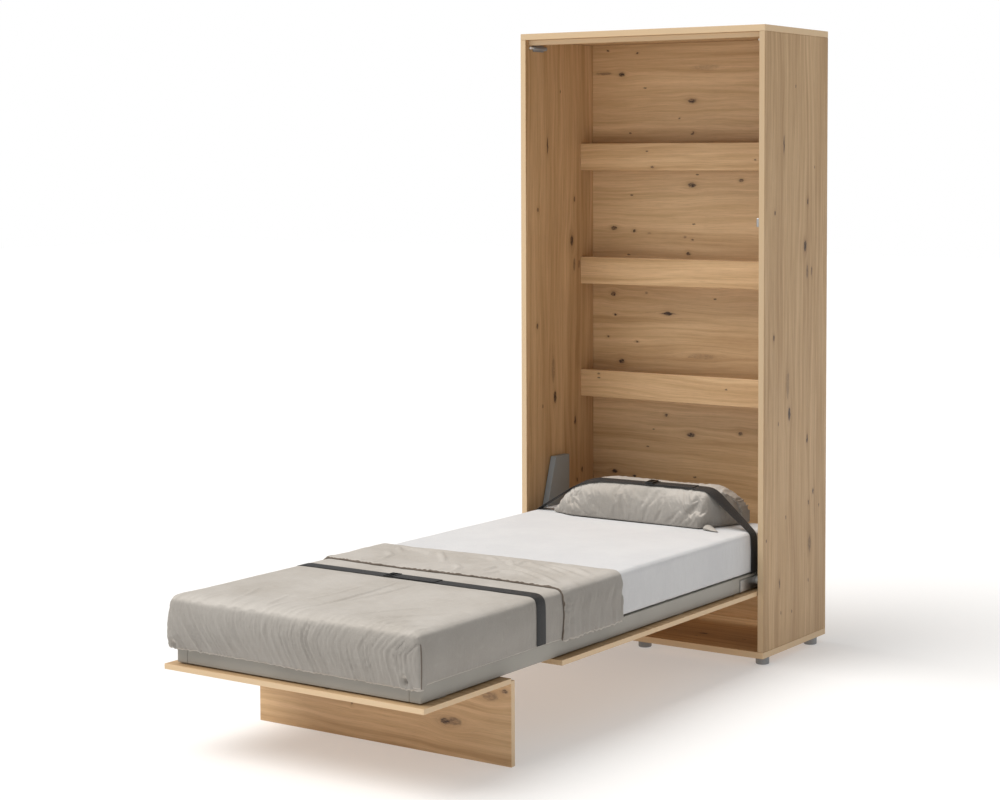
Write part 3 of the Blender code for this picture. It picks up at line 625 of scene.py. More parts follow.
# ---------------------------------------------------------------- mattress and fitted sheet
def make_mattress():
    """The foam mattress itself, seen only from below and behind the slats."""
    inset = 0.0035
    low = MATTRESS_LOW + Vector((inset, inset, 0.0003))
    high = MATTRESS_HIGH - Vector((inset, inset, inset))
    box = RoundedBox(low, high, EDGE_RADIUS - inset, HEM_RADIUS - inset)
    mesh = box_grid("mattress_core", low, high, 0.020, lambda point: True)
    for vertex in mesh.vertices:
        vertex.co = box.place(vertex.co)
    core = add_piece("mattress_core", mesh, ticking)
    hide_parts("mattress")
    return core


def sheet_ripple(point, out):
    """How far the fitted sheet stands out: soft waves above, fine gathers down its sides."""
    across, along = point.x, point.y - FRONT
    if out.z > 0.8:
        edge = smooth(abs(across), 0.30, 0.44)
        swell = 0.0011 * wave(across * 3.0, along * 2.2) + 0.0005 * wave(across * 9.0, along * 6.0, 4.0)
        crease = ridges(7.0, across * 2.0 + along * 1.2, along * 4.5, 8.0)
        return swell + 0.0008 * edge * crease
    run = along if abs(out.x) > abs(out.y) else across
    depth = smooth(SHEET_TOP - point.z, 0.012, 0.10)
    pucker = ridges(2.6, run * 42.0, point.z * 5.0, 2.0)
    small = wave(run * 95.0, point.z * 7.0, 5.0)
    slack = wave(run * 11.0, point.z * 3.0, 6.0)
    return depth * (0.0030 * pucker + 0.0010 * small + 0.0016 * slack)


def make_fitted_sheet():
    """White cotton sheet stretched over the mattress, with its elastic hem tucked under."""
    tuck = 0.040
    box = RoundedBox(MATTRESS_LOW, MATTRESS_HIGH, EDGE_RADIUS, HEM_RADIUS)

    def wanted(point):
        border = min(point.x - box.low.x, box.high.x - point.x, point.y - box.low.y, box.high.y - point.y)
        return point.z > box.low.z + 0.001 or border < tuck

    mesh = box_grid("fitted_sheet", box.low, box.high, 0.0075, wanted)
    for vertex in mesh.vertices:
        place = box.place(vertex.co)
        out = box.outward(place)
        lift = sheet_ripple(place, out) if place.z > box.low.z + 0.006 else 0.0
        vertex.co = place + out * (lift - 0.0005)
        if abs(out.z) < 0.9 and place.z < box.low.z + 0.012:
            run = place.y if abs(out.x) > abs(out.y) else place.x
            vertex.co.z = max(vertex.co.z - 0.0016 - 0.0006 * wave(run * 30.0, 4.0), FRAME_TOP + 0.0012)
    sheet = add_piece("fitted_sheet", mesh, sheet_cotton)
    solidify(sheet, 0.0009)
    return sheet


# ---------------------------------------------------------------- blanket
BLANKET_STEP = 0.0085  # cell size of the cloth before it is made finer
BLANKET_THICKNESS = 0.0013
HEAD_EDGE = FRONT - 0.845  # where the cloth turns back
FLAP_EDGE = FRONT - 1.140  # where the part that is folded back ends
FLAP_LIFT = 0.0050  # how far that part lies above the lower layer
FOOT_FACE = BLANKET_LOW.y - 0.0085
blanket_box = RoundedBox((BLANKET_LOW.x - 0.0025, FOOT_FACE, FRAME_TOP - 0.0010),
                         (BLANKET_HIGH.x + 0.0025, FRONT, SHEET_TOP + 0.0035), 0.038, 0.011, 3.4)


def head_shift(x):
    """The blanket's head edge isn't square: it runs further up on the right."""
    return 0.014 * x / 0.46 + 0.004 * math.sin(7.0 * x + 0.6)


def make_blanket():
    """The lower layer is tucked in at the foot and sides; the upper part is folded back over it."""
    mesh = box_grid("blanket_cloth", blanket_box.low, (blanket_box.high.x, HEAD_EDGE, blanket_box.high.z),
                    BLANKET_STEP,
                    lambda point: point.y < HEAD_EDGE - 0.001 and (point.z > blanket_box.low.z + 0.001))
    shape = bmesh.new()
    shape.from_mesh(mesh)
    edge = [e for e in shape.edges if all(v.co.y > HEAD_EDGE - 0.0005 for v in e.verts)]
    for vertex in shape.verts:
        fade = smooth(vertex.co.y, HEAD_EDGE - 0.5, HEAD_EDGE)
        vertex.co.y += head_shift(vertex.co.x) * fade
        vertex.co = blanket_box.place(vertex.co)
    add_flap(shape, edge)
    for vertex in shape.verts:
        vertex.co += blanket_box.outward(vertex.co) * 0.0009 * wave(*(vertex.co * 38.0))
    shape.to_mesh(mesh)
    shape.free()
    blanket = add_piece("blanket_cloth", mesh, linen)
    # The second slot paints the shadow under the free edges of the flap and of the tucked corners.
    mesh.materials.append(painted_edge_shadow_linen)
    simulate(blanket, blanket_pin, frames=10, cap=0.012, pressure=0.4, stiffness=14.0, bending=0.15)
    for vertex in blanket.data.vertices:
        vertex.co = blanket_laid(vertex.co)
    subdivide(blanket)
    baked(blanket)
    for vertex in blanket.data.vertices:
        vertex.co = tucked(vertex.co + blanket_box.outward(vertex.co) * gathers(vertex.co))
    add_corner_folds(blanket)
    solidify(blanket, BLANKET_THICKNESS)
    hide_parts("blanket")
    return blanket


def add_flap(shape, edge):
    """Carries the head edge round a soft fold and back towards the foot, above the lower layer; its last row,
    the free edge, is painted dark as the shadow line under it.
    """
    ring = sorted({v for e in edge for v in e.verts}, key=lambda v: v.index)
    base = {v: v.co.copy() for v in ring}
    rows = [(0.0035, FLAP_LIFT * 0.25), (0.0050, FLAP_LIFT * 0.5), (0.0035, FLAP_LIFT * 0.8)]
    count = round((HEAD_EDGE - FLAP_EDGE) / BLANKET_STEP)
    rows += [(-BLANKET_STEP * (number + 0.2), FLAP_LIFT) for number in range(count)]
    rows += [(-BLANKET_STEP * count, FLAP_LIFT * 0.9), (-BLANKET_STEP * count, FLAP_LIFT * 0.20)]
    current = {v: v for v in ring}
    for number, (back, lift) in enumerate(rows):
        fresh = {}
        for v in ring:
            place = base[v]
            out = blanket_box.outward(place)
            rest = 1.0 - smooth(-back, 0.0, HEAD_EDGE - FLAP_EDGE)
            drift = head_shift(place.x) * (rest - 1.0) + 0.006 * math.sin(9.0 * place.x) * (1.0 - rest)
            drift += 0.0035 * wave(place.x * 26.0, place.z * 26.0) * (1.0 - rest)
            fresh[v] = shape.verts.new(place + out * lift + Vector((0.0, back + drift, 0.0)))
        for e in edge:
            a, b = e.verts
            face = shape.faces.new((current[a], current[b], fresh[b], fresh[a]))
            # The last row, the free edge, takes the dark painted shadow.
            face.material_index = int(number == len(rows) - 1)
        current = fresh
    bmesh.ops.recalc_face_normals(shape, faces=shape.faces)


def in_flap(point):
    """Whether the point is in the part that is folded back, above the lower layer."""
    return point.y > FLAP_EDGE - 0.02 and blanket_box.height(point) > FLAP_LIFT * 0.6


def near_flap(point):
    """From 0 well before the edge of the folded part to 1 close to it and beyond."""
    return smooth(point.y, FLAP_EDGE - 0.075, FLAP_EDGE - 0.030)


def under_strap(point, near, far):
    """From 1 within the distance near of the strap's middle line to 0 beyond far."""
    return 1.0 - smooth(abs(point.y - FOOT_STRAP_Y), near, far)


def blanket_pin(point):
    """Held: the hem, the line under the strap, and all from just before the flap's edge on."""
    hem = 1.0 - smooth(point.z, blanket_box.low.z + 0.004, blanket_box.low.z + 0.030)
    return max(hem, near_flap(point), under_strap(point, 0.020, 0.045))


def blanket_laid(point):
    """Keeps a point of the cloth on the right side of what it lies on."""
    out = blanket_box.outward(point)
    height = blanket_box.height(point)
    if point.y > FLAP_EDGE - 0.02 and height > FLAP_LIFT * 0.5:
        low, high = FLAP_LIFT * 0.75, FLAP_LIFT + 0.0065
    else:
        free = (1.0 - near_flap(point)) * (1.0 - under_strap(point, 0.022, 0.050))
        low, high = 0.0, 0.0075 * free + 0.0015
    return point + out * (min(max(height, low), high) - height)


# Soft folds: the points that one runs through, its width and its height.
TOP_FOLDS = ((((0.000, -1.330), (0.016, -1.480), (0.020, -1.620), (0.004, -1.745)), 0.0060, 0.0042),
             (((0.060, -1.330), (0.062, -1.480), (0.040, -1.640)), 0.0070, 0.0030),
             (((-0.060, -1.400), (-0.052, -1.560), (-0.070, -1.700)), 0.0080, 0.0022),
             (((0.300, -1.560), (0.230, -1.660), (0.150, -1.790)), 0.0080, 0.0030),
             (((0.390, -1.600), (0.310, -1.690), (0.220, -1.810)), 0.0080, 0.0032),
             (((0.430, -1.680), (0.360, -1.740), (0.290, -1.812)), 0.0070, 0.0030),
             (((0.445, -1.730), (0.400, -1.775), (0.350, -1.815)), 0.0060, 0.0026),
             (((-0.300, -1.600), (-0.260, -1.700), (-0.235, -1.800)), 0.0080, 0.0022),
             (((-0.160, -1.620), (-0.130, -1.720), (-0.110, -1.800)), 0.0080, 0.0022))
FLAP_FOLDS = ((((0.040, -0.960), (0.090, -0.915), (0.170, -0.900), (0.270, -0.935), (0.360, -0.985)),
               0.012, 0.0066),
              (((0.100, -1.070), (0.110, -0.990), (0.180, -0.972), (0.310, -1.035), (0.430, -1.110)),
               0.011, 0.0066),
              (((0.140, -1.110), (0.160, -1.045), (0.230, -1.028), (0.320, -1.075)), 0.010, 0.0052),
              (((0.120, -0.872), (0.270, -0.905), (0.420, -0.985)), 0.013, 0.0060),
              (((0.200, -0.862), (0.330, -0.885), (0.440, -0.950)), 0.012, 0.0048),
              (((0.060, -0.880), (0.100, -0.905), (0.150, -0.950)), 0.009, 0.0040),
              (((0.165, -0.872), (0.130, -0.930)), 0.008, 0.0036),
              (((-0.360, -0.870), (-0.280, -0.895), (-0.200, -0.925), (-0.110, -0.875)), 0.012, 0.0056),
              (((-0.190, -0.890), (-0.130, -0.950), (-0.075, -1.015)), 0.010, 0.0044),
              (((-0.350, -0.960), (-0.290, -1.010), (-0.270, -1.090)), 0.010, 0.0036),
              (((-0.060, -0.900), (0.000, -0.880), (0.050, -0.900)), 0.011, 0.0042),
              (((-0.030, -1.020), (0.020, -1.060), (0.040, -1.120)), 0.010, 0.0036),
              (((-0.410, -0.930), (-0.350, -0.900), (-0.300, -0.950)), 0.010, 0.0038))


def fold_height(folds, x, y):
    """The height of soft folds that run along given lines, each with a shallow valley beside it."""
    total = 0.0
    for points, width, height in folds:
        best, place = 1.0, 0.0
        for number, ((ax, ay), (bx, by)) in enumerate(zip(points, points[1:])):
            dx, dy = bx - ax, by - ay
            part = ((x - ax) * dx + (y - ay) * dy) / (dx * dx + dy * dy)
            part = min(max(part, 0.0), 1.0)
            distance = math.hypot(x - ax - part * dx, y - ay - part * dy)
            if distance < best:
                best, place = distance, (number + part) / (len(points) - 1)
        if best < 4.0 * width:
            fade = math.sin(math.pi * min(max(place, 0.0), 1.0)) ** 0.6
            ridge = math.exp(-(best / width) ** 2) - 0.40 * math.exp(-(best / (2.2 * width)) ** 2)
            total += 1.7 * height * ridge * fade
    return total


def gathers(point):
    """Fine folds: along the tucked foot and sides, on the flap, and soft creases on top."""
    x, y = point.x, point.y - FRONT
    drop = blanket_box.high.z - point.z
    out = blanket_box.outward(point)
    strap = 1.0 - under_strap(point, 0.026, 0.060)
    if in_flap(point):
        hem = 1.0 - smooth(point.y, FLAP_EDGE, FLAP_EDGE + 0.06)
        run = x if out.z > 0.6 else drop
        pucker = abs(wave(run * 52.0, y * 12.0, 3.0)) * hem * 0.0060
        side = smooth(drop, 0.012, 0.050)
        bent = y - 0.45 * 0.07 * (1.0 - smooth(drop, 0.0, 0.08)) + 0.006 * wave(drop * 14.0, y * 5.0)
        vertical = ridges(2.6, bent * 40.0, drop * 5.0, 7.0)
        small = ridges(2.2, bent * 90.0, drop * 9.0, 2.0)
        return (pucker + fold_height(FLAP_FOLDS, x, y) * (1.0 - 0.8 * side)
                + (0.0056 * vertical + 0.0024 * small) * side + 0.0012 * wave(x * 12.0, y * 18.0))
    if point.y > FLAP_EDGE:
        return 0.0
    on_foot = smooth(-out.y, 0.35, 0.8)
    near_foot = 1.0 - smooth(y, -1.815, -1.66)
    share = min(max((x + 0.46) / 0.92, 0.0), 1.0)
    upper = min(drop, 0.06)
    lean = (0.85 - 2.0 * share) * upper + (0.85 - 0.75 * share) * (drop - upper)
    run = (x - lean + 0.005 * wave(x * 6.0, drop * 12.0)) if on_foot > 0.5 else y
    reach = smooth(drop, -0.004, 0.045) if on_foot > 0.5 else smooth(drop, 0.010, 0.080)
    ridge = ridges(2.6, run * 66.0, drop * 3.0, 1.0) ** 1.3
    small = ridges(2.4, run * 125.0, drop * 6.0, 5.0)
    depth = 0.65 + 0.6 * wave(x * 5.0, drop * 9.0, 3.0)
    folds = (0.0056 * ridge + 0.0026 * small) * reach * depth * (on_foot + 0.22 * (1.0 - on_foot)) * strap
    belly = math.sin(math.pi * smooth(drop, 0.0, 0.150)) * 0.0040 * (1.0 - out.z ** 2) * strap
    slack = 0.0030 * wave(x * 4.0, y * 4.0, drop * 6.0) * (1.0 - out.z ** 2) * strap
    top = ridges(3.0, x * 34.0 - y * 4.0, y * 4.0, 1.0) * near_foot * smooth(out.z, 0.5, 0.95)
    lying = fold_height(TOP_FOLDS, x, y) * smooth(out.z, 0.5, 0.9) * strap
    return folds + belly + slack + 0.0026 * top + lying


# The small hollows where the tucked corners draw the cloth in: X, Z, reach and depth.
DIMPLES = ((0.418, FRAME_TOP + 0.012, 0.0065, 0.016), (-0.440, FRAME_TOP + 0.004, 0.006, 0.008))


def tucked(point):
    """Pulls the foot's hem in under the blanket's belly and lets it hang over the frame's upper edge."""
    low = 1.0 - smooth(point.z, FRAME_TOP - 0.002, FRAME_TOP + 0.040)
    at_foot = 1.0 - smooth(point.y, FOOT_FACE + 0.010, FOOT_FACE + 0.040)
    share = smooth(point.x, -0.46, 0.46)
    pull = low * at_foot
    point.y += 0.008 * pull
    point.z -= (0.007 + 0.006 * share) * pull
    if point.y < FOOT_FACE + 0.030:
        for x, z, reach, depth in DIMPLES:
            far = math.hypot(point.x - x, (point.z - z) * 0.7)
            point.y += depth * math.exp(-(far / reach) ** 2) - 0.004 * math.exp(-((far - 0.016) / 0.008) ** 2)
    if pull > 0.5 and point.z < FRAME_TOP:
        point.y = min(point.y, FRAME_FOOT - 0.0020)
    return point


CORNER_ROWS, CORNER_COLUMNS = 24, 14  # cells of the tucked corners' upper layer
CORNER_HEIGHT = 0.130
CORNER_TURN = 54.0  # degrees round the corner that it covers, from the foot face on


def add_corner_folds(blanket):
    """The overlapping layer of the tucked corners: it lies on the cloth and ends in a free upright edge,
    whose last column is painted dark as the shadow line beside it.
    """
    graph = bpy.context.evaluated_depsgraph_get()
    tree = BVHTree.FromObject(blanket, graph)
    shape = bmesh.new()
    shape.from_mesh(blanket.data)
    for side in (-1.0, 1.0):
        rows = []
        for level in range(CORNER_ROWS + 1):
            z = FRAME_TOP - 0.006 + CORNER_HEIGHT * level / CORNER_ROWS
            row = []
            for step in range(CORNER_COLUMNS + 1):
                share = step / CORNER_COLUMNS
                turn = math.radians(-90.0 + CORNER_TURN * share)
                aim = Vector((side * math.cos(turn), math.sin(turn), 0.0))
                centre = Vector((side * (blanket_box.high.x - 0.040), FOOT_FACE + 0.040, z))
                start = centre + aim * 0.090
                hit = tree.ray_cast(start, -aim)[0]
                place = hit if hit else centre + aim * 0.040
                top = smooth(z, FRAME_TOP + 0.128, FRAME_TOP + 0.095)
                row.append(shape.verts.new(place + aim * (-0.0020 + 0.0052 * smooth(share, 0.1, 0.95) * top)))
            rows.append(row)
        for lower, upper in zip(rows, rows[1:]):
            for step in range(CORNER_COLUMNS):
                corners = (lower[step], lower[step + 1], upper[step + 1], upper[step])
                face = shape.faces.new(corners if side > 0 else corners[::-1])
                # The column at the free edge takes the dark painted shadow.
                face.material_index = int(step == CORNER_COLUMNS - 1)
    shape.to_mesh(blanket.data)
    shape.free()
    blanket.data.shade_smooth()


# ---------------------------------------------------------------- pillow
PILLOW_REST = SHEET_TOP + 0.0006
PILLOW_ROOM = 0.006  # room left inside the pillow's box for the filling to swell
PILLOW_AROUND, PILLOW_ALONG = 56, 90  # cells round the pillow, and from end to end
CASE_ROWS, CASE_AROUND = 8, 12  # cells of the case's empty corner


def pillow_section(turn, share):
    """A point of the pillow's section: turn goes once round it, share runs from -1 to 1 between its ends."""
    end = abs(share)
    half_y = (PILLOW_HIGH.y - PILLOW_LOW.y) / 2 - PILLOW_ROOM
    full = PILLOW_HIGH.z - PILLOW_LOW.z - PILLOW_ROOM
    plump = (1.0 - end ** 4.0) ** 0.90 if share < 0.0 else (1.0 - end ** 9.0) ** 0.55
    thick = full * (0.10 + 0.90 * plump)
    cos, sin = math.cos(turn), math.sin(turn)
    y = half_y * math.copysign(abs(cos) ** 0.55, cos)
    z = thick * (0.06 + 0.94 * abs(sin) ** 0.60) if sin > 0 else thick * 0.06 * (1.0 - abs(sin) ** 0.45)
    if cos < 0.0:
        y += 0.026 * (z / full) ** 1.5 + 0.030 * smooth(-share, 0.70, 1.0)
        y += 0.190 * max(0.0, (share - 0.76) / 0.24) ** 1.15
    return y, z


def make_pillow():
    """A pillow lying against the strap: a stuffed form whose side ends pull in to a seam."""
    middle_y = (PILLOW_HIGH.y + PILLOW_LOW.y) / 2
    half_x = PILLOW_HIGH.x - PILLOW_ROOM
    shape = bmesh.new()
    rings = []
    for row in range(PILLOW_ALONG + 1):
        share = -math.cos(math.pi * row / PILLOW_ALONG)
        ring = []
        for step in range(PILLOW_AROUND):
            y, z = pillow_section(2.0 * math.pi * step / PILLOW_AROUND, share)
            ring.append(shape.verts.new((half_x * share, middle_y + y, PILLOW_REST + z)))
        rings.append(ring)
    skin(shape, rings)
    pillow = add_piece("pillow_case", mesh_of(shape, "pillow_case"), linen)
    remesh = pillow.modifiers.new("even", "REMESH")
    remesh.mode = "VOXEL"
    remesh.voxel_size = 0.0055
    baked(pillow)
    simulate(pillow, pillow_pin, frames=20, cap=0.009, pressure=4.0, stiffness=12.0, bending=0.2,
             swell=0.035)
    for vertex in pillow.data.vertices:
        vertex.co = pillow_kept(vertex.co)
    subdivide(pillow)
    baked(pillow)
    for vertex in pillow.data.vertices:
        crease = pillow_creases(vertex.co)
        forward = 0.8 * crease * smooth(PILLOW_LOW.y + 0.06 - vertex.co.y, 0.0, 0.05)
        vertex.co += Vector((0.0, -forward, crease))
    add_case_corner(pillow)
    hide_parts("pillow")
    return pillow


def pillow_pin(point):
    """Held: the seams at the pillow's two ends, and its underside."""
    ends = smooth(abs(point.x), PILLOW_HIGH.x - 0.030, PILLOW_HIGH.x - 0.012)
    floor = 1.0 - smooth(point.z, PILLOW_REST + 0.003, PILLOW_REST + 0.012)
    return max(ends, floor)


def pillow_kept(point):
    """Presses the pillow under its strap and keeps it on the sheet."""
    strap = 1.0 - smooth(abs(point.y - HEAD_STRAP_Y), 0.018, 0.060)
    top = PILLOW_HIGH.z - 0.001 - 0.006 * strap
    return Vector((point.x, min(point.y, PILLOW_HIGH.y), min(max(point.z, PILLOW_REST), top)))


def pillow_creases(point):
    """Creases that fan out from the case's corners, and a soft unevenness of the filling."""
    height = point.z - PILLOW_LOW.z
    end = smooth(point.x, 0.10, 0.30) + 0.5 * smooth(-point.x, 0.16, 0.34)
    end *= 1.0 - smooth(abs(point.x), 0.31, 0.36)
    turned = point.x + 0.7 * height
    ridge = ridges(2.6, turned * 34.0, height * 10.0 + point.y * 6.0, 3.0)
    fine = ridges(2.4, turned * 70.0, height * 26.0, 6.0)
    soft = wave(point.x * 9.0, point.y * 14.0, height * 12.0)
    total = (0.0040 * ridge + 0.0016 * fine) * (0.3 + end) + 0.0024 * soft
    return total * smooth(height, 0.008, 0.035)


def add_case_corner(pillow):
    """The empty corner of the pillow case, pinched flat and lying on the sheet at the front right."""
    shape = bmesh.new()
    shape.from_mesh(pillow.data)
    base = Vector((0.300, PILLOW_LOW.y + 0.022, PILLOW_LOW.z))
    rows = []
    for row in range(CASE_ROWS + 1):
        share = row / CASE_ROWS
        half = 0.020 * (1.0 - share) ** 0.8 + 0.0015
        ring = []
        for step in range(CASE_AROUND):
            turn = 2.0 * math.pi * step / CASE_AROUND
            across = half * math.cos(turn)
            up = (0.0022 + 0.013 * (1.0 - share) ** 1.3) * max(math.sin(turn), -0.15)
            ripple = 0.0016 * math.sin(7.0 * math.cos(turn) + 5.0 * share) * (1.0 - share)
            ring.append(shape.verts.new(base + Vector((0.056 * share + 0.35 * across, across - 0.030 * share,
                                                       0.0016 + max(up + ripple, 0.0)))))
        rows.append(ring)
    skin(shape, rows)
    shape.to_mesh(pillow.data)
    shape.free()
    pillow.data.shade_smooth()


# ---------------------------------------------------------------- straps and buckles
STRAP_POINTS = 220
STRAP_REACH = 0.060  # below the sheet's top, from where a strap hangs straight down


def band(name, edges, middle_y, width, thickness, material):
    """A flat band: edges are the lines, in X and Z, that the inner face's lower and upper Y edges follow."""
    shape = bmesh.new()
    rows = []
    last = len(edges[0]) - 1
    for index in range(last + 1):
        before, after = max(index - 1, 0), min(index + 1, last)
        rim = thickness * 0.35
        section = ((-0.5, rim), (-0.47, 0.0), (0.47, 0.0), (0.5, rim), (0.5, thickness - rim),
                   (0.47, thickness), (-0.47, thickness), (-0.5, thickness - rim))
        row = []
        for share, rise in section:
            part = share + 0.5
            x, z = mixed(edges, index, part)
            run = (Vector(mixed(edges, after, part)) - Vector(mixed(edges, before, part))).normalized()
            row.append(shape.verts.new((x - run.y * rise, middle_y + width * share, z + run.x * rise)))
        rows.append(row)
    skin(shape, rows)
    mesh = mesh_of(shape, name)
    mesh.set_sharp_from_angle(angle=math.radians(40.0))
    return add_piece(name, mesh, material)


def mixed(edges, index, part):
    """A point between the two edge lines, part of the way from the first to the second."""
    (ax, az), (bx, bz) = edges[0][index], edges[1][index]
    return ax + (bx - ax) * part, az + (bz - az) * part


def resampled(points, count):
    """count points evenly along a line through the given ones."""
    lengths = [0.0]
    for (ax, az), (bx, bz) in zip(points, points[1:]):
        lengths.append(lengths[-1] + math.hypot(bx - ax, bz - az))
    out, number = [], 0
    for step in range(count):
        place = lengths[-1] * step / (count - 1)
        while number < len(points) - 2 and lengths[number + 1] < place:
            number += 1
        share = (place - lengths[number]) / (lengths[number + 1] - lengths[number])
        (ax, az), (bx, bz) = points[number], points[number + 1]
        out.append((ax + (bx - ax) * share, az + (bz - az) * share))
    return out


def softened(points, rounds):
    for _ in range(rounds):
        points = [points[0]] + [((a[0] + 2 * b[0] + c[0]) / 4, (a[1] + 2 * b[1] + c[1]) / 4)
                                for a, b, c in zip(points, points[1:], points[2:])] + [points[-1]]
    return points


def upper_hull(points):
    """The upper convex chain through points sorted by X: the line a taut strap takes."""
    chain = []
    for point in sorted(points):
        while len(chain) > 1:
            (ax, az), (bx, bz) = chain[-2], chain[-1]
            if (bx - ax) * (point[1] - az) - (bz - az) * (point[0] - ax) < 0:
                break
            chain.pop()
        chain.append(point)
    return chain


def strap_route(near, bottom, clearance):
    """Round everything that lies under the strap, from one side of the frame to the other."""
    side = max(abs(x) for x, _ in near)
    chain = upper_hull(near + [(-side, SHEET_TOP - STRAP_REACH), (side, SHEET_TOP - STRAP_REACH)])
    wide = []
    for index, (x, z) in enumerate(chain):
        before, after = chain[max(index - 1, 0)], chain[min(index + 1, len(chain) - 1)]
        run = Vector((after[0] - before[0], after[1] - before[1])).normalized()
        wide.append((x - run.y * clearance, z + run.x * clearance))
    lower = side + clearance
    route = [(-lower, bottom)] + wide + [(lower, bottom)]
    return softened(resampled(route, STRAP_POINTS), 6)


def strap_edges(pieces, middle_y, bottom, clearance):
    """The strap's two edge lines, so that it lies flat against what slopes under it."""
    graph = bpy.context.evaluated_depsgraph_get()
    points = []
    for piece in pieces:
        shape = piece.evaluated_get(graph).to_mesh()
        points += [vertex.co.copy() for vertex in shape.vertices
                   if abs(vertex.co.y - middle_y) < 0.040 and vertex.co.z > SHEET_TOP - STRAP_REACH]
        piece.evaluated_get(graph).to_mesh_clear()
    edges = []
    for side in (-1.0, 1.0):
        edge_y = middle_y + side * STRAP_WIDTH / 2
        near = [(point.x, point.z) for point in points if abs(point.y - edge_y) < 0.009]
        edges.append(strap_route(near, bottom, clearance))
    return edges


def make_straps(blanket, pillow, sheet):
    bottom = FRAME_TOP + 0.004
    for name, pieces, y, shift, clearance in (("foot", [blanket], FOOT_STRAP_Y, -0.085, 0.0008),
                                              ("head", [pillow, sheet], HEAD_STRAP_Y, 0.045, 0.0016)):
        edges = strap_edges(pieces, y, bottom, clearance)
        strap = band(f"{name}_strap_web", edges, y, STRAP_WIDTH, STRAP_THICKNESS, strap_web)
        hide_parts(f"{name}_strap")
        doubled = [index for index, point in enumerate(edges[0]) if shift + 0.004 < point[0] < shift + 0.175]
        lifted = [[(edge[index][0], edge[index][1] + STRAP_THICKNESS + 0.0004) for index in doubled]
                  for edge in edges]
        band(f"{name}_strap_tail", lifted, y, STRAP_WIDTH - 0.001, STRAP_THICKNESS, strap_web)
        stitches(f"{name}_strap_stitching", lifted, y)
        middle = min(range(len(edges[0])), key=lambda index: abs(edges[0][index][0] - shift)
                     + (0.0 if edges[0][index][1] > SHEET_TOP else 1.0))
        height = mixed(edges, middle, 0.5)[1] + STRAP_THICKNESS
        tilt = math.atan2(edges[1][middle][1] - edges[0][middle][1], STRAP_WIDTH)
        buckle = make_buckle(f"{name}_buckle_clip", (shift, y, height), tilt, name == "head")
        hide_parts(f"{name}_buckle")


def add_block(shape, low, high, rounding=0.0008):
    made = bmesh.ops.create_cube(shape, size=1.0)["verts"]
    size = Vector(high) - Vector(low)
    bmesh.ops.transform(shape, matrix=Matrix.Diagonal((*size, 1.0)), verts=made)
    bmesh.ops.translate(shape, vec=(Vector(low) + Vector(high)) / 2, verts=made)
    edges = list(dict.fromkeys(edge for vertex in made for edge in vertex.link_edges))
    bmesh.ops.bevel(shape, geom=edges, offset=rounding, segments=2, profile=0.5, affect="EDGES")


def stitches(name, edges, y):
    """The box of stitches that holds the doubled end of the webbing."""
    shape = bmesh.new()
    for index in range(len(edges[0])):
        for part in (0.14, 0.86):
            x, z = mixed(edges, index, part)
            if x > edges[0][-1][0] - 0.030:
                place = y + (part - 0.5) * STRAP_WIDTH
                top = z + STRAP_THICKNESS
                add_block(shape, (x - 0.0018, place - 0.0004, top - 0.0003),
                          (x + 0.0018, place + 0.0004, top + 0.0004), 0.0002)
    add_piece(name, mesh_of(shape, name), strap_web)


def make_buckle(name, place, tilt, lever):
    """A ladder buckle: side cheeks and three cross bars, with a ribbed thumb lever if it has one."""
    half_y = STRAP_WIDTH / 2 + 0.0010
    shape = bmesh.new()
    for side in (-1.0, 1.0):
        low = min(side * half_y, side * (half_y - 0.0028))
        add_block(shape, (-0.018, low, -0.0010), (0.018, low + 0.0028, 0.0040), 0.0010)
    for bar, thick in ((-0.0160, 0.0024), (-0.0040, 0.0022), (0.0160, 0.0024)):
        add_block(shape, (bar - thick, 0.001 - half_y, 0.0004), (bar + thick, half_y - 0.001, 0.0038), 0.0010)
    if lever:
        add_block(shape, (-0.019, 0.003 - half_y, 0.0034), (0.012, half_y - 0.003, 0.0085), 0.0014)
        for number in range(6):
            start = -0.0165 + 0.0036 * number
            add_block(shape, (start, 0.006 - half_y, 0.0080),
                      (start + 0.0016, half_y - 0.006, 0.0096), 0.0004)
    turned = Matrix.Translation(place) @ Matrix.Rotation(tilt, 4, "X")
    bmesh.ops.transform(shape, matrix=turned, verts=shape.verts)
    mesh = mesh_of(shape, name)
    mesh.shade_smooth()
    mesh.set_sharp_from_angle(angle=math.radians(35.0))
    return add_piece(name, mesh, black_plastic, shade_smooth=False)


# ---------------------------------------------------------------- stage, light and camera
FLOOR_GLOW = 0.32
ROOM_LIGHT = 0.40  # what the white room gives; the camera itself sees it at full strength
SUN_DIRECTION, SUN_STRENGTH, SUN_ANGLE = (0.40, 0.32, -0.86), 2.75, 48.0
CAMERA_PLACE = (3.8950, FRONT - 6.1311, 1.7037)
CAMERA_TILT, CAMERA_TURN = 90.0 - 3.142, 32.378
CAMERA_LENS, CAMERA_SENSOR = 74.824, 36.0
CAMERA_SHIFT = (-0.14, -0.12)


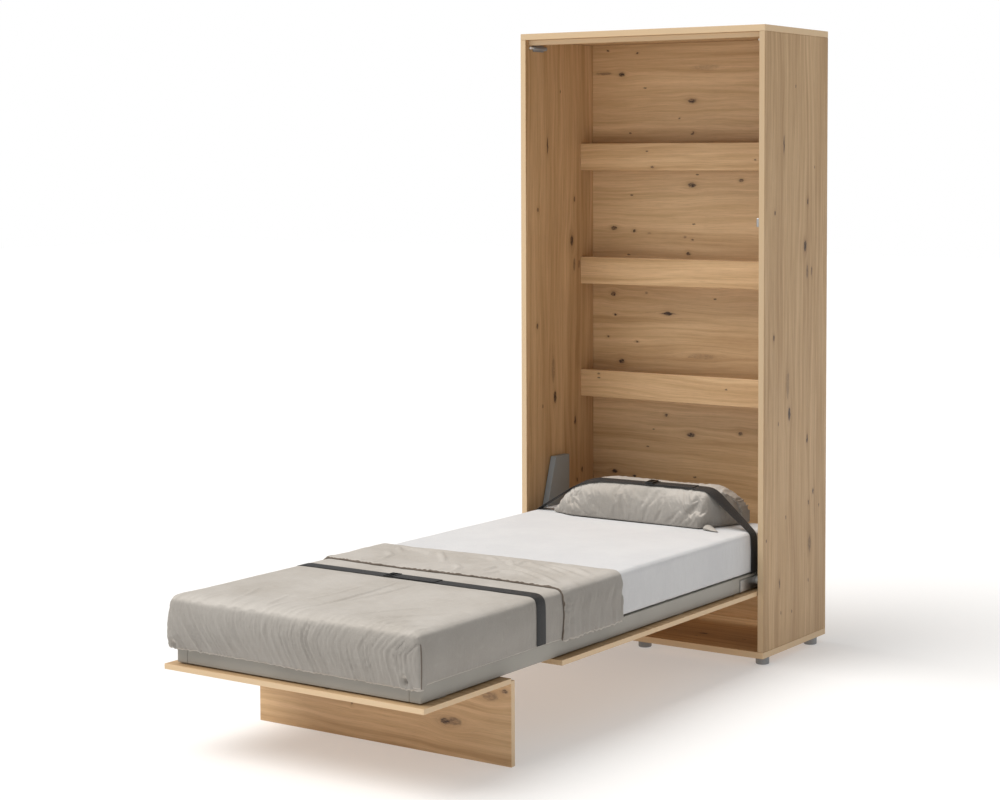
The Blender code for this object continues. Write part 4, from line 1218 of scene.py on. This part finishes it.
def make_stage():
    """A plain pale floor that glows a little, so that it stays nearly white."""
    mesh = bpy.data.meshes.new("studio_floor")
    half = 30.0
    mesh.from_pydata([(-half, -half, 0.0), (half, -half, 0.0), (half, half, 0.0), (-half, half, 0.0)], [],
                     [(0, 1, 2, 3)])
    floor = placed("studio_floor", mesh)
    floor.location.z = -0.0005
    shade = Shading("studio_floor", 0.75)
    cloud = shade.noise(shade.coordinates(), 0.6, 2.0)
    mesh.materials.append(shade.finish(Base_Color=shade.mix(cloud, (0.70, 0.695, 0.69), (0.68, 0.675, 0.67)),
                                       Emission_Color=(1.0, 0.99, 0.98, 1.0), Emission_Strength=FLOOR_GLOW))


def make_light():
    """An even white studio: a bright room, seen as pure white, and a very soft sun from the upper left."""
    world = bpy.data.worlds.new("studio")
    bpy.context.scene.world = world
    world.use_nodes = True
    tree = world.node_tree
    background = tree.nodes["Background"]
    background.inputs["Color"].default_value = (1.0, 1.0, 1.0, 1.0)
    rays = tree.nodes.new("ShaderNodeLightPath")
    strength = tree.nodes.new("ShaderNodeMix")
    strength.inputs[2].default_value = ROOM_LIGHT
    strength.inputs[3].default_value = 1.0
    tree.links.new(rays.outputs["Is Camera Ray"], strength.inputs[0])
    tree.links.new(strength.outputs[0], background.inputs["Strength"])
    light = bpy.data.lights.new("key", "SUN")
    light.energy = SUN_STRENGTH
    light.angle = math.radians(SUN_ANGLE)
    light.color = (1.0, 0.985, 0.96)
    lamp = placed("key", light)
    lamp.location = (0.0, 0.0, 5.0)
    lamp.rotation_euler = Vector(SUN_DIRECTION).to_track_quat("-Z", "Y").to_euler()
    view = bpy.context.scene.view_settings
    view.view_transform = "Standard"
    view.look = "None"


def make_camera():
    """The viewpoint: in front of the bed's right side, at a standing person's eye height."""
    camera = bpy.data.cameras.new("camera")
    camera.lens = CAMERA_LENS
    camera.sensor_width = CAMERA_SENSOR
    camera.shift_x, camera.shift_y = CAMERA_SHIFT
    camera.clip_end = 100.0
    holder = placed("camera", camera)
    holder.location = CAMERA_PLACE
    holder.rotation_euler = Euler((math.radians(CAMERA_TILT), 0.0, math.radians(CAMERA_TURN)))
    bpy.context.scene.camera = holder


# ---------------------------------------------------------------- build
make_camera()
make_stage()
make_light()
dress_nodes()
make_mattress()
fitted = make_fitted_sheet()
blanket_piece = make_blanket()
pillow_piece = make_pillow()
make_straps(blanket_piece, pillow_piece, fitted)
